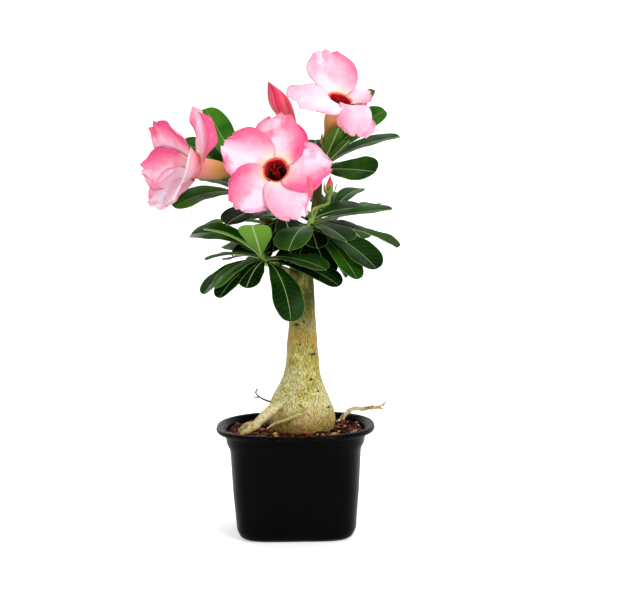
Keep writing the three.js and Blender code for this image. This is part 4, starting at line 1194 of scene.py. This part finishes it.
def lobe(tube_length, angle, length, width, spread, start=45, curl=0, sweep=0, ruffle=1.0, back=(1.5, 1.5),
         blush=0.2, corner=(0, 0), fold=(0, 0)):
    """Points, faces and values of one lobe in the bloom's frame. Start and spread are its angles
    from the axis at the mouth and near the tip, curl adds to the tip's, and sweep turns the tip
    round the axis. Back, corner and fold, each for the clockwise side and the other one, bend
    that side back, lengthen its corner as a share and turn it up near the tip."""
    v = np.linspace(0, 1, LOBE_STEPS)
    lean = mix(start, spread, smooth(v, 0, 0.7)) + curl * smooth(v, 0.55, 1)
    out = MOUTH_RADIUS - TUBE_WALL / 2 + np.cumsum(np.sin(np.radians(lean))) * length / LOBE_STEPS
    rise = tube_length - LOBE_SINK + np.cumsum(np.cos(np.radians(lean))) * length / LOBE_STEPS
    u, row = LOBE_U[None, :], LOBE_V[:, None]
    phase = random.uniform(0, 6.28, 6)
    rim = (1 + RIM_CUTS[0] * np.sin(9 * u + phase[0]) * row ** 2
           + RIM_CUTS[1] * np.sin(23 * u + phase[1]) * row ** 4)
    at = row * (1 - TIP_DROP * u ** 2 * row ** 2) * rim
    corners = np.where(u < 0, corner[0], corner[1]) * smooth(np.abs(u), 0.4, 1) * row ** 2
    at = at + corners
    past, last_lean = np.maximum(at - 1, 0), math.radians(lean[-1])
    radius = np.interp(at, v, out) + past * length * math.sin(last_lean)
    z = np.interp(at, v, rise) + past * length * math.cos(last_lean)
    half = np.interp(row, LOBE_WIDTH[:, 0], LOBE_WIDTH[:, 1]) * width / 2
    half = half * (1 + 0.03 * np.sin(8 * row + phase[2] * np.sign(u)) * np.abs(u) * row)
    turn = math.radians(angle) + np.radians(sweep) * row ** 1.5 + u * half / radius
    near_rim = smooth(np.maximum(np.abs(u) ** 1.5, row ** 2.5) + 0 * u, 0.35, 1)
    run = 1.5 * u + 1.3 * row * np.sign(u)
    waves = (np.sin(4.2 * run + phase[3]) + 0.55 * np.sin(9.5 * run + phase[4])
             + 0.12 * np.sin(21 * run + phase[5]))
    turned_back = np.where(u < 0, back[0], back[1]) * u ** 2 * smooth(row, 0.1, 0.8)
    folded_up = np.where(u < 0, fold[0], fold[1]) * smooth(np.abs(u), 0.5, 1) * smooth(row, 0.4, 0.85)
    turned_back = turned_back - folded_up
    lift = (-u * LOBE_TILT * np.sin(np.pi * np.minimum(1, row * 0.8 + 0.18)) - turned_back
            + RUFFLE_HEIGHT * ruffle * near_rim * waves * smooth(row, 0.12, 0.6))
    tilted = np.radians(np.interp(row, v, lean))
    radius = radius - lift * np.cos(tilted)
    z = z + lift * np.sin(tilted)
    grid = np.stack([radius * np.cos(turn), radius * np.sin(turn), z], -1)
    inner, outer = thicken(grid, mix(*LOBE_THICKNESS, near_rim))
    flat = np.zeros(grid.shape[:2])
    to_edge = np.minimum((1 - np.abs(u)) * half, (1 - row) * length)
    flushed = blush + (u > 0) * (fold[1] > 0) * smooth(u, 0.35, 0.75) * smooth(row, 0.35, 0.65)
    values = {"reach": at * length, "across": u + flat, "to_edge": to_edge, "outside": flat,
              "blush": flat + flushed}
    rows = {k: np.tile(a.reshape(-1), 2) for k, a in values.items()}
    rows["outside"][flat.size:] = 1
    return np.vstack([inner.reshape(-1, 3), outer.reshape(-1, 3)]), sheet_faces(*flat.shape), rows


print("one lobe:", 2 * len(LOBE_V) * len(LOBE_U), "points")

# %% [markdown]
# The funnel is narrow at its foot and widens in two steps. It is lofted through rings, up the
# outside and down the inside, so that it has a wall and can be looked into.

# %% The funnel
FUNNEL = [(0, 2.6), (0.08, 3), (0.22, 3.6), (0.38, 5.6), (0.58, 7.5), (0.86, 8.2), (1, MOUTH_RADIUS)]
FUNNEL_SIDES = 60
PLEAT_DEPTH = 0.035           # as a share of the radius


def funnel(tube_length):
    """The tube of the corolla, outside and inside, with five shallow pleats."""
    line = spline([(share, radius, 0) for share, radius in FUNNEL], 40)
    wall = [(share, radius, 1.0) for share, radius, _ in line]
    wall += [(share, radius - TUBE_WALL * 0.8, 0.0) for share, radius, _ in line[:1:-1]]
    turn = np.arange(FUNNEL_SIDES) * 2 * np.pi / FUNNEL_SIDES
    rings = []
    for share, radius, _ in wall:
        pleat = radius * (1 + PLEAT_DEPTH * smooth(share, 0.25, 0.7) * np.cos(5 * turn + 0.6))
        level = np.full(FUNNEL_SIDES, share * tube_length)
        rings.append(np.stack([pleat * np.cos(turn), pleat * np.sin(turn), level], 1))
    points, faces = loft(rings)
    wall = np.array(wall)
    values = {"reach": (wall[:, 0] - 1) * tube_length, "outside": wall[:, 2], "blush": wall[:, 0] * 0}
    rows = {k: np.concatenate([np.repeat(a, FUNNEL_SIDES), a[[0, -1]]]) for k, a in values.items()}
    rows["across"] = np.concatenate([np.tile(np.sin(2.5 * turn), len(wall)), [0, 0]])
    rows["to_edge"] = np.full(len(points), 9.0)
    return points, faces, rows


print("funnel:", len(funnel(40)[0]), "points")

# %% [markdown]
# The lobes are thin and velvety: rough, with a trace of sheen and little gloss. They are pink
# at the rim and pale to cream at the mouth. No two are alike, so each lobe carries a blush:
# 0 is nearly white, 0.4 is pink and 0.8 coral, and a folded side goes past that. The blush
# and clouds of noise decide where coral and pale patches lie.

# %% The velvety petal: its pinks
petal_material, tree, shader = new_material(
    "velvety_petal", IOR=1.4, Roughness=0.66, Sheen_Weight=0.08, Sheen_Roughness=0.4, Specular_IOR_Level=0.2)
place = place_in(tree)
read = {n: stored(tree, n) for n in PETAL_VALUES}
cloud = cloudy(tree, place, 70, 3)
blotch = cloudy(tree, place, 46, 3, 0.6)
mottle = cloudy(tree, place, 190, 4, 0.7)
unsure = calc(tree, "MULTIPLY_ADD", cloud, 9, read["reach"])
along = remap(tree, unsure, (2, 42))
lobe_tone = ramp(tree, along, [
    (0.0, "f9dfb4"), (0.16, "fbe3d2"), (0.34, "f9c6d6"), (0.55, "f7a3bf"), (0.8, "f17da3"),
    (1.0, "e86390")])
coral_here = remap(tree, blotch, (0.42, 0.62), (0, 0.95))
coral_share = calc(tree, "MULTIPLY", coral_here, read["blush"])
warmed = blend(tree, coral_share, lobe_tone, "ee6480")
lift = remap(tree, read["blush"], (0.4, 0.0), (0, 0.7))
lifted = blend(tree, lift, warmed, "fdeaf4")
print("petal nodes so far:", len(tree.nodes))

# %% [markdown]
# One side of each lobe was rolled inside the bud and stayed pale. The other was outermost, saw
# the sun, and is a deeper pink. The across value, from -1 to 1, tells the sides apart.

# %% The pale side, the fold and the deep side
streak = remap(tree, read["across"], (-0.3, 0.15))
streak_end = remap(tree, read["across"], (1, 0.6))
pale = calc(tree, "MULTIPLY", streak, streak_end)
pale_blotch = remap(tree, blotch, (0.62, 0.48))
pale_here = calc(tree, "MULTIPLY", pale, pale_blotch)
pale_lobe = remap(tree, read["blush"], (0.0, 1), (1, 0.45))
pale_share = calc(tree, "MULTIPLY", pale_here, pale_lobe)
whitened = blend(tree, pale_share, lifted, "f8e6f6")
fold_flush = remap(tree, read["blush"], (0.8, 1.05), (0, 0.8))
folded = blend(tree, fold_flush, whitened, "f0607c")
wander = calc(tree, "MULTIPLY_ADD", blotch, 0.7, read["across"])
margin = remap(tree, wander, (0.02, -0.4))
off_mouth = remap(tree, read["reach"], (4, 14))
margin_here = calc(tree, "MULTIPLY", margin, off_mouth)
margin_lobe = remap(tree, read["blush"], (0.0, 0.6), (0.15, 0.9))
margin_share = calc(tree, "MULTIPLY", margin_here, margin_lobe)
blushed = blend(tree, margin_share, folded, "e2457c")
print("petal nodes so far:", len(tree.nodes))

# %% [markdown]
# Fine veins fan out from the mouth: lines of equal across value, bent by noise. Over them lie
# tiny darker freckles and tiny pale specks, which are painted glints of the velvet, and the rim
# dries to a darker line with brown nicks.

# %% Veins, freckles and the rim
fan_angle = calc(tree, "MULTIPLY", read["across"], 26)
fan_wobble = calc(tree, "MULTIPLY_ADD", cloud, 6, fan_angle)
fan_line = calc(tree, "PINGPONG", fan_wobble, 1)
vein = remap(tree, fan_line, (0.0, 0.5), (0.2, 0.0))
vein_here = calc(tree, "MULTIPLY", vein, off_mouth)
veined = blend(tree, vein_here, blushed, "d4527f")
freckle = remap(tree, mottle, (0.5, 0.75), (0, 0.2))
freckled = blend(tree, freckle, veined, "e06a92")
# pale specks that stand in for glints on the velvet: a painted highlight
painted_glint = remap(tree, mottle, (0.45, 0.28), (0, 0.15))
with_painted_glints = blend(tree, painted_glint, freckled, "fdeef6")
rim = remap(tree, read["to_edge"], (0.1, 0.9), (0.6, 0.0))
rimmed = blend(tree, rim, with_painted_glints, "c9557c")
nick_noise = cloudy(tree, place, 380, 2)
nick = remap(tree, nick_noise, (0.6, 0.68))
near = remap(tree, read["to_edge"], (1.5, 0.3), (0, 0.85))
nick_share = calc(tree, "MULTIPLY", nick, near)
nicked = blend(tree, nick_share, rimmed, "5c1c28")
print("petal nodes so far:", len(tree.nodes))

# %% [markdown]
# The reach value is the distance from the mouth, and is negative down the tube. Inside, the
# throat is blood red up to a thin pale ring, and darkens deeper down the tube as painted shade.
# Outside, the funnel runs from olive at its foot through apricot to pink, and the backs of pale
# lobes are pale too.

# %% The throat and the outside
mouth_line = calc(tree, "MULTIPLY_ADD", cloud, 3, read["reach"])
mouth_place = remap(tree, mouth_line, (-12, 6))
# the red darkens deeper down the tube: painted shade in the tube
throat_red_and_shade = ramp(tree, mouth_place, [
    (0.0, "6e0004"), (0.35, "a00006"), (0.6, "b8040a"), (0.72, "c60e14"), (0.8, "dc4030"),
    (0.88, "f5c090")])
in_mouth = remap(tree, mouth_line, (4.8, 3.6))
inside = blend(tree, in_mouth, nicked, throat_red_and_shade)
funnel_place = remap(tree, unsure, (-36, 30))
outer_tone = ramp(tree, funnel_place, [
    (0.0, "7f7a2e"), (0.18, "a98238"), (0.36, "dba05c"), (0.5, "f0a488"), (0.62, "f4808c"),
    (0.76, "f7a0b4"), (1.0, "f8b9cf")])
outer_mottle = blend(tree, lift, outer_tone, "fdeff6")
outer_patch = calc(tree, "MULTIPLY", off_mouth, 0.7)
outer_pale = blend(tree, outer_patch, outer_tone, outer_mottle)
outer_vein = blend(tree, vein, outer_pale, "c9705a")
petal_colour = blend(tree, read["outside"], inside, outer_vein)
crinkle = calc(tree, "MULTIPLY_ADD", fan_line, 0.5, mottle)
bump = dents(tree, crinkle, 0.35, 0.0006)
feed(tree, shader, Base_Color=petal_colour, Normal=bump)
print("petal nodes:", len(tree.nodes))

# %% [markdown]
# The stalk and calyx under a bloom are soft, downy and green, flushed with red on the side of
# the sun. Inside the mouth the five anthers lean together in a cone, and each carries a long
# hairy tail that curls out of the throat.

# %% Stalk and anther finishes
def downy(name, low, middle, high, step):
    """A soft downy finish that drifts between three tones."""
    material, tree, shader = new_material(name, IOR=1.4, Roughness=0.6, Specular_IOR_Level=0.2)
    place = place_in(tree)
    drift = cloudy(tree, place, 1000 / step, 4)
    tone = ramp(tree, drift, [(0.35, low), (0.5, middle), (0.65, high)])
    down = cloudy(tree, place, 2600, 2)
    bump = dents(tree, down, 0.4, 0.0002)
    feed(tree, shader, Base_Color=tone, Normal=bump)
    return material


stalk_material = downy("downy_flower_stalk", "6f8a34", "8fa04a", "b08a54", 9)
anther_material = downy("downy_red_anthers", "78040a", "a80c16", "c83c48", 4)
print("stalk and anther materials are ready")

# %% [markdown]
# All these parts are round and taper, so the stem tree makes them from paths. A path that
# starts in the bloom's own frame is carried to its place first.

# %% The anthers
ANTHERS = 5


def cone_of_anthers(name, tube_length, place):
    """Five leaning anthers and their tails, as one mesh."""
    paths = []
    floor = FUNNEL[1][0] * tube_length + GAP
    heights = np.array([floor, 0.42 * tube_length, 0.64 * tube_length, 0.86 * tube_length])
    middle = spline([(0, 0, z) for z in heights], 16)
    paths.append((carried(middle, place), [0.8, 0.8, 0.9, 2.2, 2.6, 2.0, 1.3, 0.5]))
    for k in range(ANTHERS):
        turn = math.radians(36 + 72 * k)
        out = np.array([math.cos(turn), math.sin(turn), 0])
        aside = np.array([-math.sin(turn), math.cos(turn), 0])
        up = np.array([0, 0, tube_length])
        anther = spline([out * 1.5 + up * 0.46, out * 2.6 + up * 0.6, out * 1.7 + up * 0.76,
                         out * 0.6 + up * 0.88], 12)
        paths.append((carried(anther, place), [0.7, 1.1, 1.0, 0.5]))
        tail = spline([out * 0.6 + up * 0.84, out * 1.6 + aside * 0.9 + up * 0.93,
                       out * 2.6 + aside * 0.2 + up * 1.0, out * 4.4 - aside * 0.9 + up * 1.055], 16)
        paths.append((carried(tail, place), [0.45, 0.5, 0.4, 0.45, 0.25]))
    return stems(name, paths, 10, anther_material)


print("a cone is swept from", 1 + 2 * ANTHERS, "paths")

# %% [markdown]
# A stalk leaves the tip of its shoot in the shoot's own direction and bends into the bloom's
# axis. At its end a small cup holds the tube between five pointed sepals, which are thin
# sheets like the petals.

# %% The stalk and its calyx
SEPAL = [                     # distance from the axis, height, half width
    (2.2, -1.8, 1.5), (3.6, -0.3, 1.9), (4.4, 1.2, 1.7), (5.0, 3.6, 1.1), (5.4, 6.4, 0.25)]
CALYX_DEPTH = 4
SEPAL_THICKNESS = 0.55


def stalk_with_calyx(name, shoot, aside, place):
    """The stalk from a shoot's tip to a bloom's foot, its cup and five pointed sepals."""
    curve = shoot_curve(shoot)
    ahead = unit(curve[-1] - curve[-4])
    start = curve[-1] + ahead * 2 * GAP + aside
    reach = np.linalg.norm(place[1] - start) * 0.2
    ends = carried([(0, 0, -CALYX_DEPTH - reach), (0, 0, -CALYX_DEPTH + 0.6)], place)
    path = spline([start, start + ahead * reach, *ends], 30)
    cup = carried([(0, 0, z) for z in np.linspace(-CALYX_DEPTH, -GAP, 8)], place)
    paths = [(path, [1.4, 1.3, 1.3, 1.5]), (cup, [1.3, 1.9, 2.5, 2.9, 3.0])]
    body = stems(name + "_body", paths, 16, stalk_material)
    parts = [([tuple(v.co / MM) for v in body.data.vertices], [list(p.vertices) for p in body.data.polygons])]
    bpy.data.objects.remove(body)
    line = spline(SEPAL, 14)
    across = np.linspace(1, -1, 7)
    for k in range(5):
        turn = math.radians(72 * k)
        out = np.array([math.cos(turn), math.sin(turn), 0])
        side = np.array([-math.sin(turn), math.cos(turn), 0])
        grid = ((line[:, None, 0:1] - 0.35 * across[None, :, None] ** 2) * out
                + line[:, None, 1:2] * [0, 0, 1] + (line[:, None, 2:3] * across[None, :, None]) * side)
        top, bottom = thicken(grid, np.full(grid.shape[:2], SEPAL_THICKNESS))
        sheet = carried(np.vstack([top.reshape(-1, 3), bottom.reshape(-1, 3)]), place)
        parts.append((sheet, sheet_faces(*grid.shape[:2])))
    return make_object(name, *gather(parts), stalk_material)


print("a sepal is", round(SEPAL[-1][1] - SEPAL[0][1], 1), "mm high")

# %% [markdown]
# Each bloom is listed with the foot and mouth of its funnel, the shoot that bears it, how far
# aside its stalk starts, and its lobes. A lobe names only the handles that it needs, such as
# its angle round the mouth and its length, width and blush. The bloom in front faces the
# viewer, the left one is seen from the side, and the top one faces up. Its lowest lobes bend
# back past the level, and one of them is small.

# %% The three blooms
random = np.random.default_rng(SEED + 2)
BLOOMS = {
    "front": ((-8, -18, 268), (-11, -60, 283.5), "centre", (0, 0, 0), [
        dict(angle=80, length=35.5, width=47, spread=88, ruffle=1.3, corner=(-0.03, 0.02), blush=0.8),
        dict(angle=152, length=37, width=44, spread=88, ruffle=1.5, blush=0.38),
        dict(angle=226, length=37, width=43, spread=88, ruffle=1.4, blush=0.55),
        dict(angle=296, length=39, width=40, spread=92, corner=(0.05, -0.09), fold=(0, 7), blush=0.16),
        dict(angle=-3, length=36.5, width=45, spread=88, ruffle=0.9, corner=(-0.08, -0.06), blush=0.5)]),
    "left": ((-39, -3, 282), (-74, -22, 287), "left", (0, 0, 0), [
        dict(angle=62, length=37, width=42, start=82, spread=74, sweep=14, ruffle=1.7, back=(6, 1),
             corner=(-0.05, 0.1), blush=0.5),
        dict(angle=145, length=43, width=36, spread=50, sweep=-8, ruffle=1.5, corner=(0, 0.06), blush=0.7),
        dict(angle=189, length=43, width=36, spread=48, ruffle=1.5, blush=0.7),
        dict(angle=232, length=41, width=35, spread=54, ruffle=1.5, blush=0.15),
        dict(angle=340, length=36, width=54, start=22, spread=56, sweep=-46, ruffle=0.8, blush=0.05)]),
    "top": ((26, -1.5, 304.5), (37.6, -21, 336.8), "top_right", (2, -0.8, 0), [
        dict(angle=124, length=35.5, width=51, spread=46, corner=(0.04, 0.05), blush=0.26),
        dict(angle=236, length=41, width=40, spread=105, sweep=-18, ruffle=1.2, back=(-2, 1),
             corner=(0.12, -0.04), blush=0.03),
        dict(angle=256, length=13, width=26, spread=100, ruffle=0.4),
        dict(angle=310, length=40, width=35, spread=124, sweep=-22, ruffle=1.6, back=(3, 1),
             corner=(-0.05, 0.1), blush=0.16),
        dict(angle=20, length=19, width=30, spread=64, curl=40, ruffle=1.2, blush=0.3)]),
}

for name, (foot, mouth, shoot, aside, lobes) in BLOOMS.items():
    place = frame_at(foot, mouth)
    tube_length = np.linalg.norm(np.subtract(mouth, foot))
    parts = [funnel(tube_length)] + [lobe(tube_length, **shape) for shape in lobes]
    points, faces = gather([part[:2] for part in parts])
    values = {key: np.concatenate([part[2][key] for part in parts]) for key in PETAL_VALUES}
    corolla = make_object("corolla_of_" + name, carried(points, place), faces, petal_material, **values)
    finish_piece(corolla, "corolla_" + name)
    finish_piece(cone_of_anthers("anther_cone_" + name, tube_length, place), "anthers_" + name)
    finish_piece(stalk_with_calyx("stalk_of_" + name, shoot, aside, place), "flower_stalk_" + name)

# %% [markdown]
# ## Buds
# In a closed bud the five lobes are rolled round each other. The finish reads two values
# that each point carries: its share of the way up, which runs from olive over orange to
# crimson, and its place on the fold, which darkens the crease with painted shade and reddens
# the free edge.

# %% The rolled bud's finish
bud_material, tree, shader = new_material("rolled_bud_petal", IOR=1.4, Roughness=0.5, Sheen_Weight=0.2)
share = stored(tree, "share")
fold = stored(tree, "fold")
place = place_in(tree)
cloud = cloudy(tree, place, 300, 3)
drift = calc(tree, "MULTIPLY_ADD", cloud, 0.16, share)
tone = ramp(tree, drift, [
    (0.1, "7f8432"), (0.28, "a8913f"), (0.42, "cf8350"), (0.56, "dc4e58"), (0.8, "e02c56"),
    (1.0, "c8184a")])
high = remap(tree, share, (0.35, 0.55))
streak = remap(tree, fold, (0.5, 0.72), (0, 0.16))
streak_here = calc(tree, "MULTIPLY", streak, high)
streaked = blend(tree, streak_here, tone, "eca4a6")
edge = remap(tree, fold, (0.86, 0.97), (0, 0.9))
edge_here = calc(tree, "MULTIPLY", edge, high)
edged = blend(tree, edge_here, streaked, "c01a44")
# dark maroon where one lobe tucks under the next: painted shade in the crease
crease_shade = remap(tree, fold, (0.16, 0.0), (0, 0.85))
crease_shade_here = calc(tree, "MULTIPLY", crease_shade, high)
colour = blend(tree, crease_shade_here, edged, "7c0c28")
bump = dents(tree, cloud, 0.3, 0.0004)
feed(tree, shader, Base_Color=colour, Normal=bump)
print("bud nodes:", len(tree.nodes))

# %% [markdown]
# The body is lofted through round rings. A saw-tooth rule, five teeth round and a slow twist
# from foot to tip, raises the free edge of each lobe over the next one.

# %% Two buds
BUDS = {                      # foot, tip, shoot, how far aside, radii
    "bud": ((9, -3, 302), (-17.5, -5, 352), "top_right", (-1.9, 0.3, 0),
            [2.4, 2.6, 3.2, 4.4, 5.8, 6.8, 7.3, 6.2, 3.7, 0.5]),
    "small_bud": ((28.5, -13, 267), (29.6, -13, 279), "right", (0, 0, 0), [1.5, 2.4, 2.8, 2.2, 1.2, 0.4]),
}
BUD_SIDES, BUD_LEVELS = 80, 60
BUD_TWIST = 65                # degrees from foot to tip
BUD_TEETH = 5
TOOTH_PEAK = 0.85             # where along a tooth it is highest
FOLD_HEIGHT = 0.26            # as a share of the radius

for name, (foot, tip, shoot, aside, radii) in BUDS.items():
    place = frame_at(foot, tip)
    length = np.linalg.norm(np.subtract(tip, foot))
    line = spline([(k * length / (len(radii) - 1), radius, 0) for k, radius in enumerate(radii)], BUD_LEVELS)
    angle = np.arange(BUD_SIDES) * 2 * np.pi / BUD_SIDES
    tooth = (angle * BUD_TEETH / (2 * np.pi)) % 1
    rise = np.where(tooth < TOOTH_PEAK, tooth / TOOTH_PEAK, (1 - tooth) / (1 - TOOTH_PEAK))
    rings, folds, shares = [], [], []
    for z, radius, _ in line:
        share = z / length
        turn = angle + math.radians(BUD_TWIST) * share ** 2
        ridged = radius * (1 + FOLD_HEIGHT * (rise - 0.5) * smooth(share, 0.25, 0.55))
        rings.append(np.stack([ridged * np.cos(turn), ridged * np.sin(turn), np.full(BUD_SIDES, z)], 1))
        folds.append(rise)
        shares.append(np.full(BUD_SIDES, share))
    points, faces = loft(rings)
    bud = make_object("rolled_" + name, carried(points, place), faces, bud_material,
                      share=np.append(np.concatenate(shares), [0, 1]),
                      fold=np.append(np.concatenate(folds), [0, 0]))
    finish_piece(bud, name)
    finish_piece(stalk_with_calyx("stalk_of_" + name, shoot, aside, place), name + "_stalk")
